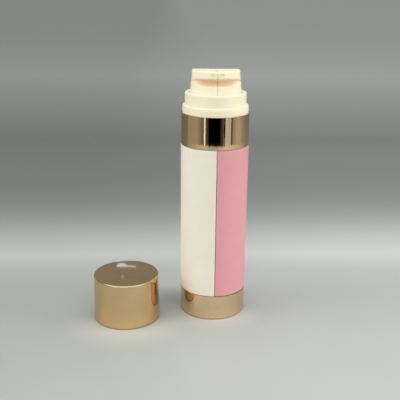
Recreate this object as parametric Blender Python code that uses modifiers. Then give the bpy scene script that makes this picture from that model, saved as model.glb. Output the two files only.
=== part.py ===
"""Twin airless pump bottle: two half-round product chambers side by side in one round body, each with
its own follower piston, its own pump and its own half of a split push-button head. The gold cap is off
and stands beside the bottle, mouth down.

Metres, +Z up. The origin is on the bottle's axis at the underside of the base. The seam between the two
halves is the plane x = 0, the left half is at -X, and the outlets face -Y.
"""

import math

import bmesh
import bpy
from mathutils import Matrix, Vector

# Body: the round outside of the whole bottle
BODY_RADIUS = 0.0190
BASE_HEIGHT = 0.0145
BODY_HEIGHT = 0.0859
COLLAR_HEIGHT = 0.0178
SEAM_GAP = 0.0003
SEAT_GAP = 0.0002
SPIGOT_GAP = 0.00025
OVERRUN = 0.0010

# Base cup
BASE_WALL = 0.0010
BASE_FLOOR = 0.0015
BASE_EDGE = 0.0006
VENT_RADIUS = 0.00075
VENT_OFFSET = 0.0085

# Outer half shells
SHELL_CORNER = 0.0007
SHELL_EDGE = 0.0003
SHELL_SKIN = 0.0009
SHELL_SEAM_WALL = 0.0010
SHELL_SPIGOT_TOP = 0.0032
SHELL_ROOF = 0.0012

# Inner bottles
BOTTLE_WALL = 0.0009
BOTTLE_CORNER = 0.0012
BOTTLE_SHOULDER = 0.0013
NECK_RISE = 0.0116
NECK_WALL_SHARE = 0.148
NECK_BEAD_SHARE = 0.059
NECK_BEAD_HEIGHT = 0.0010
NECK_BEAD_DROP = 0.0026

# Followers
FOLLOWER_HEIGHT = 0.0120
FOLLOWER_WALL = 0.0010
FOLLOWER_CROWN = 0.0014
FOLLOWER_LIP = 0.0004
FOLLOWER_LIP_HEIGHT = 0.0012
FOLLOWER_CLEARANCE = 0.0002
FOLLOWER_POCKET_WALL = 0.0006

# Gold collar
COLLAR_WALL = 0.0005
COLLAR_EDGE = 0.0002

# Neck plate
PLATE_RISE = 0.0042
PLATE_THICK = 0.0014
PLATE_WALL = 0.0008
PLATE_RIM_HEIGHT = 0.0092
PLATE_RIM_WALL = 0.0011

# Closure ring
FLANGE_RISE = 0.0040
FLANGE_BAND = 0.0020
FLANGE_GROOVE = 0.00015
FLANGE_CHAMFER = 0.0003
FLANGE_STEP = 0.00115
RING_RISE = 0.0069
RING_WALL = 0.0024
RING_EDGE = 0.0006
RING_SKIRT_WALL = 0.0013
RING_BORE_DEPTH = 0.0100
SNAP_BEAD = 0.0003
SNAP_HEIGHT = 0.0010

# Pump
PUMP_WALL_SHARE = 0.118
PUMP_FLANGE_THICK = 0.0009
PUMP_SET_BACK = 0.0015
PUMP_SPACING = 0.00085
PUMP_RIM_GAP = 0.0008
SPRING_SPACE = 0.0120
STROKE = 0.0060
STEM_SHARE = 0.53
STEM_BORE_SHARE = 0.45
STEM_TIP = 0.0012
STEM_HEAD_CLEARANCE = 0.0008
STEM_PORT_RADIUS = 0.0004
STEM_CLEARANCE = 0.0001
PISTON_HEIGHT = 0.0040
PISTON_LIP = 0.0004
PISTON_LIP_HEIGHT = 0.0008
PISTON_CLEARANCE = 0.0001
GASKET_THICK = 0.0007
LOCK_CLEARANCE = 0.0002
LOCK_WALL_SHARE = 0.104
LOCK_ROOF = 0.0008
LOCK_DEPTH = 0.0036
BALL_SHARE = 0.38
BALL_SEAT_SHARE = 0.69
BALL_LIFT = 0.0010
BALL_CLEARANCE = 0.0004
VALVE_FLOOR = 0.0009
WIRE_SHARE = 0.082
SPRING_CLEARANCE = 0.0004
SPRING_TURNS = 6

# Split push-button head
BUTTON_GAP = 0.0004
BUTTON_SEAM_GAP = 0.0004
BUTTON_RISE = 0.0119
BUTTON_DRAFT = 0.0011
BUTTON_EDGE = 0.00045
BUTTON_WALL = 0.0010
BUTTON_ROOF = 0.0014
SKIRT_CLEARANCE = 0.0004
PAD_RADIUS = 0.0120
PAD_DEPTH = 0.0023
PAD_RIDGE_SET_BACK = 0.0036
LIP_HEIGHT = 0.0036
SCOOP_DEPTH = 0.0044
SCOOP_SET_FORWARD = 0.0062
SCOOP_SLOPE = math.radians(24)
SCOOP_RADIUS = 0.1000
SCOOP_COVE = 0.0020
BOSS_WALL = 0.0010
SOCKET_DEPTH = 0.0050
POCKET_ROOF = 0.0036
DUCT_RADIUS = 0.0008

# Outlet inserts
OUTLET_OFFSET = 0.0024
OUTLET_DROP = 0.00135
OUTLET_WIDTH = 0.0025
OUTLET_HEIGHT = 0.0013
OUTLET_DEPTH = 0.0020
OUTLET_PROUD = 0.0001
OUTLET_CLEARANCE = 0.0001
OUTLET_SLOT_WIDTH = 0.0013
OUTLET_SLOT_HEIGHT = 0.0005

# Cap, and where it stands beside the bottle
CAP_HEIGHT = 0.0264
CAP_PROUD = 0.0001
CAP_DRAFT = 0.0006
CAP_WALL = 0.0006
CAP_ROOF = 0.0007
CAP_EDGE = 0.0006
CAP_LIP = 0.0002
LINER_CLEARANCE = 0.00015
LINER_ROOF = 0.0010
CAP_X = -0.0505
CAP_Y = -0.0105

# Facets
LARGE_STEPS = 48
NECK_STEPS = 20
SMALL_STEPS = 16
STEM_STEPS = 12
PORT_STEPS = 8
CORNER_STEPS = 3
ARC_STEPS = 24
EDGE_STEPS = 3
BOW_STEPS = 12
COIL_POINTS_PER_TURN = 8

# Worked out from the sizes above, from the foot up
BODY_TOP = BASE_HEIGHT + BODY_HEIGHT
COLLAR_TOP = BODY_TOP + COLLAR_HEIGHT
FLANGE_TOP = COLLAR_TOP + FLANGE_RISE
RING_TOP = FLANGE_TOP + RING_RISE
HEAD_TOP = RING_TOP + BUTTON_RISE
SEAM = SEAM_GAP / 2
BUTTON_SEAM = BUTTON_SEAM_GAP / 2

BASE_BORE = BODY_RADIUS - BASE_WALL
SHELL_SPIGOT_RADIUS = BASE_BORE - SPIGOT_GAP
SHELL_BORE = SHELL_SPIGOT_RADIUS - SHELL_SKIN
SHELL_FLAT = SEAM + SHELL_SEAM_WALL
SHELL_FOOT = BASE_FLOOR + SEAT_GAP
SHELL_HEAD = BODY_TOP + SHELL_SPIGOT_TOP
BOTTLE_RADIUS = SHELL_BORE - SEAT_GAP
BOTTLE_FLAT = SHELL_FLAT + SEAT_GAP
BOTTLE_BORE = BOTTLE_RADIUS - BOTTLE_WALL
BOTTLE_BORE_FLAT = BOTTLE_FLAT + BOTTLE_WALL
BOTTLE_FOOT = BASE_FLOOR + SEAT_GAP
BOTTLE_TOP = SHELL_HEAD - SHELL_ROOF - SEAT_GAP
BOTTLE_CEILING = BOTTLE_TOP - BOTTLE_SHOULDER
NECK_TOP = BODY_TOP + NECK_RISE

COLLAR_BORE = BODY_RADIUS - COLLAR_WALL
PLATE_RADIUS = COLLAR_BORE - SPIGOT_GAP
PLATE_BORE = PLATE_RADIUS - PLATE_WALL
SHELL_TOP_RADIUS = PLATE_BORE - SPIGOT_GAP
PLATE_UNDER = BODY_TOP + PLATE_RISE
PLATE_TOP = PLATE_UNDER + PLATE_THICK
PLATE_RIM_TOP = PLATE_TOP + PLATE_RIM_HEIGHT
RING_SKIRT_RADIUS = PLATE_RADIUS
RING_SKIRT_BORE = RING_SKIRT_RADIUS - RING_SKIRT_WALL
PLATE_RIM_RADIUS = RING_SKIRT_BORE - SPIGOT_GAP - SNAP_BEAD
FLANGE_RADIUS = RING_SKIRT_RADIUS - FLANGE_GROOVE
RING_RADIUS = FLANGE_RADIUS - FLANGE_STEP
RING_BORE = RING_RADIUS - RING_WALL
RING_CEILING = RING_TOP - RING_BORE_DEPTH
HEAD_RADIUS = RING_BORE - BUTTON_GAP

# Each lock ring is the largest circle that keeps its distance from the seam and from the rim's bore:
# the pump's distance from the axis plus the lock ring's radius is the room inside the rim.
PUMP_ROOM = PLATE_RIM_RADIUS - PLATE_RIM_WALL - PUMP_RIM_GAP
LOCK_RADIUS = (PUMP_ROOM**2 - PUMP_SPACING**2 - PUMP_SET_BACK**2) / (2 * (PUMP_ROOM + PUMP_SPACING))
PUMP_X = LOCK_RADIUS + PUMP_SPACING
PUMP_Y = PUMP_SET_BACK
LOCK_WALL = LOCK_RADIUS * LOCK_WALL_SHARE
NECK_BEAD = LOCK_RADIUS * NECK_BEAD_SHARE
NECK_WALL = LOCK_RADIUS * NECK_WALL_SHARE
PUMP_WALL = LOCK_RADIUS * PUMP_WALL_SHARE
LOCK_BORE = LOCK_RADIUS - LOCK_WALL
BEAD_RADIUS = LOCK_BORE - LOCK_CLEARANCE
NECK_RADIUS = BEAD_RADIUS - NECK_BEAD
NECK_BORE = NECK_RADIUS - NECK_WALL
HOUSING_RADIUS = NECK_BORE - SPIGOT_GAP
PUMP_BORE_RADIUS = HOUSING_RADIUS - PUMP_WALL
STEM_RADIUS = PUMP_BORE_RADIUS * STEM_SHARE
STEM_BORE_RADIUS = STEM_RADIUS * STEM_BORE_SHARE
STEM_HEAD_RADIUS = PUMP_BORE_RADIUS - STEM_HEAD_CLEARANCE
BALL_RADIUS = PUMP_BORE_RADIUS * BALL_SHARE
BALL_SEAT_RADIUS = BALL_RADIUS * BALL_SEAT_SHARE
WIRE_RADIUS = PUMP_BORE_RADIUS * WIRE_SHARE
GASKET_FOOT = NECK_TOP + SEAT_GAP
GASKET_TOP = GASKET_FOOT + GASKET_THICK
PUMP_FLANGE_FOOT = GASKET_TOP + SEAT_GAP
PUMP_TOP = PUMP_FLANGE_FOOT + PUMP_FLANGE_THICK
LOCK_CEILING = PUMP_TOP + SEAT_GAP
LOCK_TOP = LOCK_CEILING + LOCK_ROOF
PISTON_TOP = LOCK_CEILING - SEAT_GAP - SEAT_GAP
PISTON_FOOT = PISTON_TOP - PISTON_HEIGHT
STEM_HEAD_TOP = PISTON_FOOT - SEAT_GAP
STEM_FOOT = STEM_HEAD_TOP - STEM_TIP
SPRING_FOOT = STEM_FOOT - SPRING_SPACE
VALVE_BORE = BALL_RADIUS + BALL_CLEARANCE
SPRING_STEP = SPRING_FOOT - SEAT_GAP
BALL_RISE = math.sqrt((BALL_RADIUS + SEAT_GAP) ** 2 - BALL_SEAT_RADIUS**2)
VALVE_DEPTH = BALL_RISE + BALL_RADIUS + BALL_LIFT
VALVE_SEAT = SPRING_STEP - VALVE_DEPTH
HOUSING_FOOT = VALVE_SEAT - VALVE_FLOOR
BALL_Z = VALVE_SEAT + BALL_RISE
COIL_RADIUS = PUMP_BORE_RADIUS - SPRING_CLEARANCE - WIRE_RADIUS

SKIRT_FOOT = LOCK_TOP + STROKE + SKIRT_CLEARANCE
BOSS_RADIUS = STEM_RADIUS + STEM_CLEARANCE + BOSS_WALL
BOSS_FOOT = SKIRT_FOOT + SKIRT_CLEARANCE
STEM_TOP = BOSS_FOOT + SOCKET_DEPTH
SOCKET_TOP = STEM_TOP + SEAT_GAP
LIP_Z = HEAD_TOP - LIP_HEIGHT
SCOOP_Z = LIP_Z - SCOOP_DEPTH
CAVITY_TOP = SCOOP_Z - BUTTON_ROOF
POCKET_TOP = HEAD_TOP - POCKET_ROOF
OUTLET_Z = HEAD_TOP - OUTLET_DROP
WALL_LEAN = BUTTON_DRAFT / BUTTON_RISE
SCOOP_FRONT = HEAD_RADIUS - WALL_LEAN * (SCOOP_Z - RING_TOP)
POCKET_SET_FORWARD = SCOOP_SET_FORWARD - BUTTON_WALL
OUTLET_FACE = math.sqrt((HEAD_RADIUS - WALL_LEAN * (OUTLET_Z - RING_TOP)) ** 2 - OUTLET_OFFSET**2)
OUTLET_BACK = -OUTLET_FACE + OUTLET_DEPTH
CAP_RADIUS = BODY_RADIUS + CAP_PROUD

FOLLOWER_FOOT = BOTTLE_FOOT + SEAT_GAP
FOLLOWER_RADIUS = BOTTLE_BORE - FOLLOWER_CLEARANCE
FOLLOWER_FLAT = BOTTLE_BORE_FLAT + FOLLOWER_CLEARANCE
FOLLOWER_TRAVEL = BOTTLE_CEILING - SEAT_GAP - FOLLOWER_FOOT - FOLLOWER_HEIGHT
FOLLOWER_POCKET = BOTTLE_CEILING - HOUSING_FOOT
FOLLOWER_POCKET_RADIUS = HOUSING_RADIUS + SPIGOT_GAP

SIDES = {"left": -1, "right": 1}

for leftover in list(bpy.data.objects):
    bpy.data.objects.remove(leftover)
parts = bpy.data.collections.new("dual_chamber_bottle")
cutters = bpy.data.collections.new("cutters")
bpy.context.scene.collection.children.link(parts)
bpy.context.scene.collection.children.link(cutters)


def material(name, colour, roughness, metallic=0.0):
    made = bpy.data.materials.new(name)
    made.use_nodes = True
    shader = made.node_tree.nodes["Principled BSDF"]
    shader.inputs["Base Color"].default_value = (*colour, 1)
    shader.inputs["Roughness"].default_value = roughness
    shader.inputs["Metallic"].default_value = metallic
    return made


GOLD = material("gold", (0.72, 0.52, 0.33), 0.12, 1.0)
IVORY = material("ivory", (0.86, 0.80, 0.68), 0.4)
PINK = material("pink", (0.79, 0.42, 0.45), 0.4)
CREAM = material("cream", (0.93, 0.88, 0.72), 0.35)
OUTLET_YELLOW = material("outlet_yellow", (0.80, 0.68, 0.20), 0.3)
NATURAL = material("natural_plastic", (0.88, 0.88, 0.84), 0.35)
SEAL_WHITE = material("seal_white", (0.85, 0.86, 0.88), 0.5)
RUBBER = material("gasket_rubber", (0.55, 0.56, 0.58), 0.6)
STEEL = material("steel", (0.62, 0.63, 0.65), 0.25, 1.0)
SHELL_MATERIAL = {"left": IVORY, "right": PINK}

axes = {}


def add_axis(name, x, y):
    """The empty that marks a line along which pieces slide."""
    made = bpy.data.objects.new(name, None)
    made.location = (x, y, 0)
    made.empty_display_size = BODY_RADIUS
    parts.objects.link(made)
    return made


def add_part(name, mesh, finish, axis=None):
    """A node of the bottle: the mesh in its place, with its material, shaded smooth on its round faces.
    A piece with an axis has its origin on it and hangs from its empty."""
    if axis:
        mesh.transform(Matrix.Translation(-axis.location))
    mesh.shade_smooth()
    mesh.set_sharp_from_angle(angle=math.radians(30))
    mesh.materials.clear()
    mesh.materials.append(finish)
    made = bpy.data.objects.new(name, mesh)
    made.parent = axis
    parts.objects.link(made)
    return made


def add_cutter(name, mesh):
    made = bpy.data.objects.new(name, mesh)
    made.hide_render = True
    made.display_type = "WIRE"
    cutters.objects.link(made)
    return made


def boolean(target, tool, operation="DIFFERENCE"):
    step = target.modifiers.new(f"{operation.lower()} {tool.name}", "BOOLEAN")
    step.operation = operation
    step.solver = "EXACT"
    step.object = tool
    return step


def turned_mesh(name, profile, steps, x=0.0, y=0.0):
    """The mesh of a turned shape. The profile is (radius, z) points down the outer side, then back up
    the inner side; one that starts and ends on the axis stays open there."""
    flat = bmesh.new()
    points = [flat.verts.new((radius, 0, z)) for radius, z in profile]
    for first, second in zip(points, points[1:]):
        flat.edges.new((first, second))
    if profile[0][0] > 0:
        flat.edges.new((points[-1], points[0]))
    outline = bpy.data.meshes.new(name + "_profile")
    flat.to_mesh(outline)
    flat.free()
    spun = bpy.data.objects.new(name + "_spun", outline)
    bpy.context.scene.collection.objects.link(spun)
    screw = spun.modifiers.new("turn", "SCREW")
    screw.steps = steps
    screw.render_steps = steps
    screw.use_merge_vertices = True
    screw.merge_threshold = 1e-6
    made = evaluated_mesh(spun, name)
    for point in made.vertices:
        point.co += Vector((x, y, 0))
    return made


def evaluated_mesh(source, name):
    """The object's evaluated mesh with its caps welded; the object itself is removed."""
    graph = bpy.context.evaluated_depsgraph_get()
    made = bpy.data.meshes.new_from_object(source.evaluated_get(graph))
    made.name = name
    made.transform(source.matrix_world)
    welded = bmesh.new()
    welded.from_mesh(made)
    bmesh.ops.remove_doubles(welded, verts=welded.verts, dist=1e-7)
    bmesh.ops.recalc_face_normals(welded, faces=welded.faces)
    welded.to_mesh(made)
    welded.free()
    bpy.data.objects.remove(source)
    return made


def slab_mesh(name, outline, low, high, upright=False):
    """A flat outline given thickness from low to high: along z, or along y where it stands upright."""
    curve = bpy.data.curves.new(name, "CURVE")
    curve.dimensions = "2D"
    curve.fill_mode = "BOTH"
    curve.extrude = (high - low) / 2
    line = curve.splines.new("POLY")
    line.points.add(len(outline) - 1)
    for point, (across, along) in zip(line.points, outline):
        point.co = (across, along, 0, 1)
    line.use_cyclic_u = True
    made = bpy.data.objects.new(name, curve)
    bpy.context.scene.collection.objects.link(made)
    middle = (low + high) / 2
    if upright:
        made.rotation_euler.x = math.pi / 2
        made.location.y = middle
    else:
        made.location.z = middle
    bpy.context.view_layer.update()
    return evaluated_mesh(made, name)


def box_mesh(name, low, high):
    solid = bmesh.new()
    bmesh.ops.create_cube(solid, size=1.0)
    low, high = Vector(low), Vector(high)
    for point in solid.verts:
        share = point.co + Vector((0.5, 0.5, 0.5))
        point.co = low + Vector(s * (b - a) for s, a, b in zip(share, low, high))
    made = bpy.data.meshes.new(name)
    solid.to_mesh(made)
    solid.free()
    return made


def rod_mesh(name, start, end, radius, steps):
    """A plain round rod between two points, for holes and ducts."""
    start, end = Vector(start), Vector(end)
    solid = bmesh.new()
    bmesh.ops.create_cone(
        solid, cap_ends=True, segments=steps, radius1=radius, radius2=radius, depth=(end - start).length
    )
    turn = (end - start).to_track_quat("Z", "Y").to_matrix().to_4x4()
    turn.translation = (start + end) / 2
    solid.transform(turn)
    made = bpy.data.meshes.new(name)
    solid.to_mesh(made)
    solid.free()
    return made


def arc(centre, radius, start, end, steps):
    """Points along an arc, both ends included."""
    turns = [start + (end - start) * i / steps for i in range(steps + 1)]
    return [(centre[0] + radius * math.cos(a), centre[1] + radius * math.sin(a)) for a in turns]


def half_round(side, radius, flat, corner):
    """A half disc on one side of the seam, with its two corners rounded: an arc of the round outside,
    a fillet that is tangent to it and to the flat, the flat, and the other fillet."""
    across = flat + corner
    along = math.sqrt((radius - corner) ** 2 - across**2)
    lean = math.atan2(along, across)
    points = arc((0, 0), radius, -lean, lean, ARC_STEPS)
    points += arc((across, along), corner, lean, math.pi, CORNER_STEPS)[1:]
    points += arc((across, -along), corner, -math.pi, -lean, CORNER_STEPS)[:-1]
    return [(side * x, y) for x, y in points]


def place_tool(name, mesh, targets, operation="DIFFERENCE"):
    tool = add_cutter(name, mesh)
    for target in targets:
        boolean(target, tool, operation)
    return tool


def base_cup():
    rim = BASE_HEIGHT - SEAT_GAP
    profile = [(0, BASE_FLOOR), (BASE_BORE, BASE_FLOOR), (BASE_BORE, rim), (BODY_RADIUS, rim)]
    profile += arc((BODY_RADIUS - BASE_EDGE, BASE_EDGE), BASE_EDGE, 0, -math.pi / 2, EDGE_STEPS)
    profile += [(0, 0)]
    cup = add_part("base_cup", turned_mesh("base_cup", profile, LARGE_STEPS), GOLD)
    for side, way in SIDES.items():
        x = way * VENT_OFFSET
        hole = rod_mesh(
            f"vent_{side}", (x, 0, -OVERRUN), (x, 0, BASE_FLOOR + OVERRUN), VENT_RADIUS, STEM_STEPS
        )
        place_tool(f"vent_{side}", hole, [cup])


def shell(side):
    way = SIDES[side]
    body = slab_mesh(
        f"shell_{side}",
        half_round(way, BODY_RADIUS, SEAM, SHELL_CORNER),
        BASE_HEIGHT,
        BODY_TOP - SEAT_GAP,
    )
    made = add_part(f"shell_{side}", body, SHELL_MATERIAL[side])
    soften = made.modifiers.new("rounded ends", "BEVEL")
    soften.width = SHELL_EDGE
    soften.segments = 1
    soften.limit_method = "ANGLE"
    soften.angle_limit = math.radians(60)
    foot = slab_mesh(
        f"shell_foot_{side}",
        half_round(way, SHELL_SPIGOT_RADIUS, SEAM, SHELL_CORNER),
        SHELL_FOOT,
        BASE_HEIGHT + OVERRUN,
    )
    head = slab_mesh(
        f"shell_head_{side}",
        half_round(way, SHELL_TOP_RADIUS, SEAM, SHELL_CORNER),
        BODY_TOP - OVERRUN,
        SHELL_HEAD,
    )
    place_tool(f"shell_foot_{side}", foot, [made], "UNION")
    place_tool(f"shell_head_{side}", head, [made], "UNION")
    room = slab_mesh(
        f"shell_room_{side}",
        half_round(way, SHELL_BORE, SHELL_FLAT, BOTTLE_CORNER + SEAT_GAP),
        SHELL_FOOT - OVERRUN,
        SHELL_HEAD - SHELL_ROOF,
    )
    place_tool(f"shell_room_{side}", room, [made])
    hole = rod_mesh(
        f"shell_neck_hole_{side}",
        (way * PUMP_X, PUMP_Y, SHELL_HEAD - SHELL_ROOF - OVERRUN),
        (way * PUMP_X, PUMP_Y, SHELL_HEAD + OVERRUN),
        NECK_RADIUS + SPIGOT_GAP,
        NECK_STEPS,
    )
    place_tool(f"shell_neck_hole_{side}", hole, [made])


def inner_bottle(side):
    way = SIDES[side]
    body = slab_mesh(
        f"inner_bottle_{side}",
        half_round(way, BOTTLE_RADIUS, BOTTLE_FLAT, BOTTLE_CORNER),
        BOTTLE_FOOT,
        BOTTLE_TOP,
    )
    made = add_part(f"inner_bottle_{side}", body, NATURAL)
    bead_top = NECK_TOP - NECK_BEAD_DROP + NECK_BEAD_HEIGHT
    neck = turned_mesh(
        f"neck_{side}",
        [
            (0, NECK_TOP),
            (NECK_RADIUS, NECK_TOP),
            (NECK_RADIUS, bead_top + NECK_BEAD),
            (BEAD_RADIUS, bead_top),
            (BEAD_RADIUS, bead_top - NECK_BEAD_HEIGHT),
            (NECK_RADIUS, bead_top - NECK_BEAD_HEIGHT),
            (NECK_RADIUS, BOTTLE_TOP - BOTTLE_SHOULDER / 2),
            (0, BOTTLE_TOP - BOTTLE_SHOULDER / 2),
        ],
        NECK_STEPS,
        way * PUMP_X,
        PUMP_Y,
    )
    place_tool(f"neck_{side}", neck, [made], "UNION")
    room = slab_mesh(
        f"chamber_{side}",
        half_round(way, BOTTLE_BORE, BOTTLE_BORE_FLAT, BOTTLE_CORNER),
        BOTTLE_FOOT - OVERRUN,
        BOTTLE_CEILING,
    )
    place_tool(f"chamber_{side}", room, [made])
    bore = rod_mesh(
        f"neck_bore_{side}",
        (way * PUMP_X, PUMP_Y, BOTTLE_CEILING - OVERRUN),
        (way * PUMP_X, PUMP_Y, NECK_TOP + OVERRUN),
        NECK_BORE,
        NECK_STEPS,
    )
    place_tool(f"neck_bore_{side}", bore, [made])


def follower(side):
    """The piston under the product: a D-shaped cup, open below, with a wiping lip at each end and a
    round pocket in its crown that takes the foot of the pump at the end of its travel."""
    way = SIDES[side]
    top = FOLLOWER_FOOT + FOLLOWER_HEIGHT
    waist = slab_mesh(
        f"follower_{side}",
        half_round(way, FOLLOWER_RADIUS - FOLLOWER_LIP, FOLLOWER_FLAT + FOLLOWER_LIP, BOTTLE_CORNER),
        FOLLOWER_FOOT + FOLLOWER_LIP_HEIGHT / 2,
        top - FOLLOWER_LIP_HEIGHT / 2,
    )
    made = add_part(f"follower_{side}", waist, SEAL_WHITE, axes[side])
    for end, low in (("foot", FOLLOWER_FOOT), ("crown", top - FOLLOWER_LIP_HEIGHT)):
        lip = slab_mesh(
            f"follower_{end}_lip_{side}",
            half_round(way, FOLLOWER_RADIUS, FOLLOWER_FLAT, BOTTLE_CORNER),
            low,
            low + FOLLOWER_LIP_HEIGHT,
        )
        place_tool(f"follower_{end}_lip_{side}", lip, [made], "UNION")
    hollow = slab_mesh(
        f"follower_hollow_{side}",
        half_round(
            way,
            FOLLOWER_RADIUS - FOLLOWER_LIP - FOLLOWER_WALL,
            FOLLOWER_FLAT + FOLLOWER_LIP + FOLLOWER_WALL,
            BOTTLE_CORNER,
        ),
        FOLLOWER_FOOT - OVERRUN,
        top - FOLLOWER_CROWN,
    )
    place_tool(f"follower_hollow_{side}", hollow, [made])
    x, y = pump_axis(side)
    cup = rod_mesh(
        f"follower_pocket_wall_{side}",
        (x, y, top - FOLLOWER_POCKET - FOLLOWER_POCKET_WALL),
        (x, y, top - FOLLOWER_CROWN / 2),
        FOLLOWER_POCKET_RADIUS + FOLLOWER_POCKET_WALL,
        SMALL_STEPS,
    )
    place_tool(f"follower_pocket_wall_{side}", cup, [made], "UNION")
    bounds = slab_mesh(
        f"follower_bounds_{side}",
        half_round(way, FOLLOWER_RADIUS, FOLLOWER_FLAT, BOTTLE_CORNER),
        FOLLOWER_FOOT - OVERRUN,
        top + OVERRUN,
    )
    place_tool(f"follower_bounds_{side}", bounds, [made], "INTERSECT")
    pocket = rod_mesh(
        f"follower_pocket_{side}",
        (x, y, top - FOLLOWER_POCKET),
        (x, y, top + OVERRUN),
        FOLLOWER_POCKET_RADIUS,
        SMALL_STEPS,
    )
    place_tool(f"follower_pocket_{side}", pocket, [made])


def collar():
    edge = COLLAR_EDGE
    profile = [
        (COLLAR_BORE, COLLAR_TOP),
        (BODY_RADIUS - edge, COLLAR_TOP),
        (BODY_RADIUS, COLLAR_TOP - edge),
        (BODY_RADIUS, BODY_TOP + edge),
        (BODY_RADIUS - edge, BODY_TOP),
        (COLLAR_BORE, BODY_TOP),
    ]
    add_part("collar", turned_mesh("collar", profile, LARGE_STEPS), GOLD)


def neck_plate():
    bead = PLATE_RIM_RADIUS + SNAP_BEAD
    bead_top = PLATE_RIM_TOP - SNAP_HEIGHT
    rim_bore = PLATE_RIM_RADIUS - PLATE_RIM_WALL
    profile = [
        (0, PLATE_TOP),
        (rim_bore, PLATE_TOP),
        (rim_bore, PLATE_RIM_TOP),
        (PLATE_RIM_RADIUS, PLATE_RIM_TOP),
        (bead, bead_top),
        (bead, bead_top - SNAP_HEIGHT),
        (PLATE_RIM_RADIUS, bead_top - SNAP_HEIGHT - SNAP_BEAD),
        (PLATE_RIM_RADIUS, PLATE_TOP),
        (PLATE_RADIUS, PLATE_TOP),
        (PLATE_RADIUS, BODY_TOP + SEAT_GAP),
        (PLATE_BORE, BODY_TOP + SEAT_GAP),
        (PLATE_BORE, PLATE_UNDER),
        (0, PLATE_UNDER),
    ]
    plate = add_part("neck_plate", turned_mesh("neck_plate", profile, LARGE_STEPS), CREAM)
    for side, way in SIDES.items():
        hole = rod_mesh(
            f"plate_hole_{side}",
            (way * PUMP_X, PUMP_Y, PLATE_UNDER - OVERRUN),
            (way * PUMP_X, PUMP_Y, PLATE_TOP + OVERRUN),
            NECK_RADIUS + SPIGOT_GAP,
            NECK_STEPS,
        )
        place_tool(f"plate_hole_{side}", hole, [plate])


def closure_ring():
    foot = PLATE_TOP + SEAT_GAP
    groove_top = COLLAR_TOP + FLANGE_BAND + FLANGE_GROOVE
    bead_top = PLATE_RIM_TOP - SNAP_HEIGHT
    catch = RING_SKIRT_BORE + SNAP_BEAD
    profile = [(RING_BORE + RING_EDGE / 2, RING_TOP)]
    profile += arc((RING_RADIUS - RING_EDGE, RING_TOP - RING_EDGE), RING_EDGE, math.pi / 2, 0, EDGE_STEPS)
    profile += [
        (RING_RADIUS, FLANGE_TOP),
        (FLANGE_RADIUS - FLANGE_CHAMFER, FLANGE_TOP),
        (FLANGE_RADIUS, FLANGE_TOP - FLANGE_CHAMFER),
        (FLANGE_RADIUS, groove_top),
        (RING_SKIRT_RADIUS, groove_top - FLANGE_GROOVE),
        (RING_SKIRT_RADIUS, foot),
        (RING_SKIRT_BORE, foot),
        (RING_SKIRT_BORE, bead_top - SNAP_HEIGHT - SNAP_BEAD),
        (catch, bead_top - SNAP_HEIGHT),
        (catch, bead_top),
        (RING_SKIRT_BORE, bead_top + SNAP_BEAD),
        (RING_SKIRT_BORE, RING_CEILING),
        (RING_BORE, RING_CEILING),
        (RING_BORE, RING_TOP - RING_EDGE / 2),
    ]
    add_part("closure_ring", turned_mesh("closure_ring", profile, LARGE_STEPS), CREAM)


def pump_axis(side):
    return (SIDES[side] * PUMP_X, PUMP_Y)


def pump_housing(side):
    valve_radius = VALVE_BORE + PUMP_WALL
    profile = [
        (PUMP_BORE_RADIUS, PUMP_TOP),
        (NECK_RADIUS, PUMP_TOP),
        (NECK_RADIUS, PUMP_FLANGE_FOOT),
        (HOUSING_RADIUS, PUMP_FLANGE_FOOT),
        (HOUSING_RADIUS, SPRING_STEP),
        (valve_radius, SPRING_STEP - PUMP_WALL),
        (valve_radius, HOUSING_FOOT),
        (BALL_SEAT_RADIUS, HOUSING_FOOT),
        (BALL_SEAT_RADIUS, VALVE_SEAT),
        (VALVE_BORE, VALVE_SEAT),
        (VALVE_BORE, SPRING_STEP),
        (PUMP_BORE_RADIUS, SPRING_STEP),
    ]
    mesh = turned_mesh(f"pump_housing_{side}", profile, SMALL_STEPS, *pump_axis(side))
    add_part(f"pump_housing_{side}", mesh, NATURAL, axes[side])


def gasket(side):
    profile = [
        (NECK_BORE, GASKET_TOP),
        (NECK_RADIUS, GASKET_TOP),
        (NECK_RADIUS, GASKET_FOOT),
        (NECK_BORE, GASKET_FOOT),
    ]
    mesh = turned_mesh(f"gasket_{side}", profile, SMALL_STEPS, *pump_axis(side))
    add_part(f"gasket_{side}", mesh, RUBBER, axes[side])


def lock_ring(side):
    """The snap ring: its hooked foot catches under the neck's bead and its roof holds the pump down."""
    foot = LOCK_TOP - LOCK_DEPTH - LOCK_ROOF
    bead_foot = NECK_TOP - NECK_BEAD_DROP
    hook = NECK_RADIUS + LOCK_CLEARANCE
    stem_hole = STEM_RADIUS + STEM_CLEARANCE
    profile = [
        (stem_hole, LOCK_TOP),
        (LOCK_RADIUS - LOCK_WALL / 2, LOCK_TOP),
        (LOCK_RADIUS, LOCK_TOP - LOCK_WALL / 2),
        (LOCK_RADIUS, foot),
        (hook, min(foot, bead_foot - LOCK_CLEARANCE)),
        (hook, bead_foot - LOCK_CLEARANCE),
        (LOCK_BORE, bead_foot - LOCK_CLEARANCE),
        (LOCK_BORE, LOCK_CEILING),
        (stem_hole, LOCK_CEILING),
    ]
    mesh = turned_mesh(f"lock_ring_{side}", profile, NECK_STEPS, *pump_axis(side))
    add_part(f"lock_ring_{side}", mesh, SEAL_WHITE, axes[side])


def valve_ball(side):
    solid = bmesh.new()
    bmesh.ops.create_icosphere(solid, subdivisions=2, radius=BALL_RADIUS)
    bmesh.ops.translate(solid, verts=solid.verts, vec=(*pump_axis(side), BALL_Z))
    mesh = bpy.data.meshes.new(f"valve_ball_{side}")
    solid.to_mesh(mesh)
    solid.free()
    add_part(f"valve_ball_{side}", mesh, STEEL, axes[side])


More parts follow.
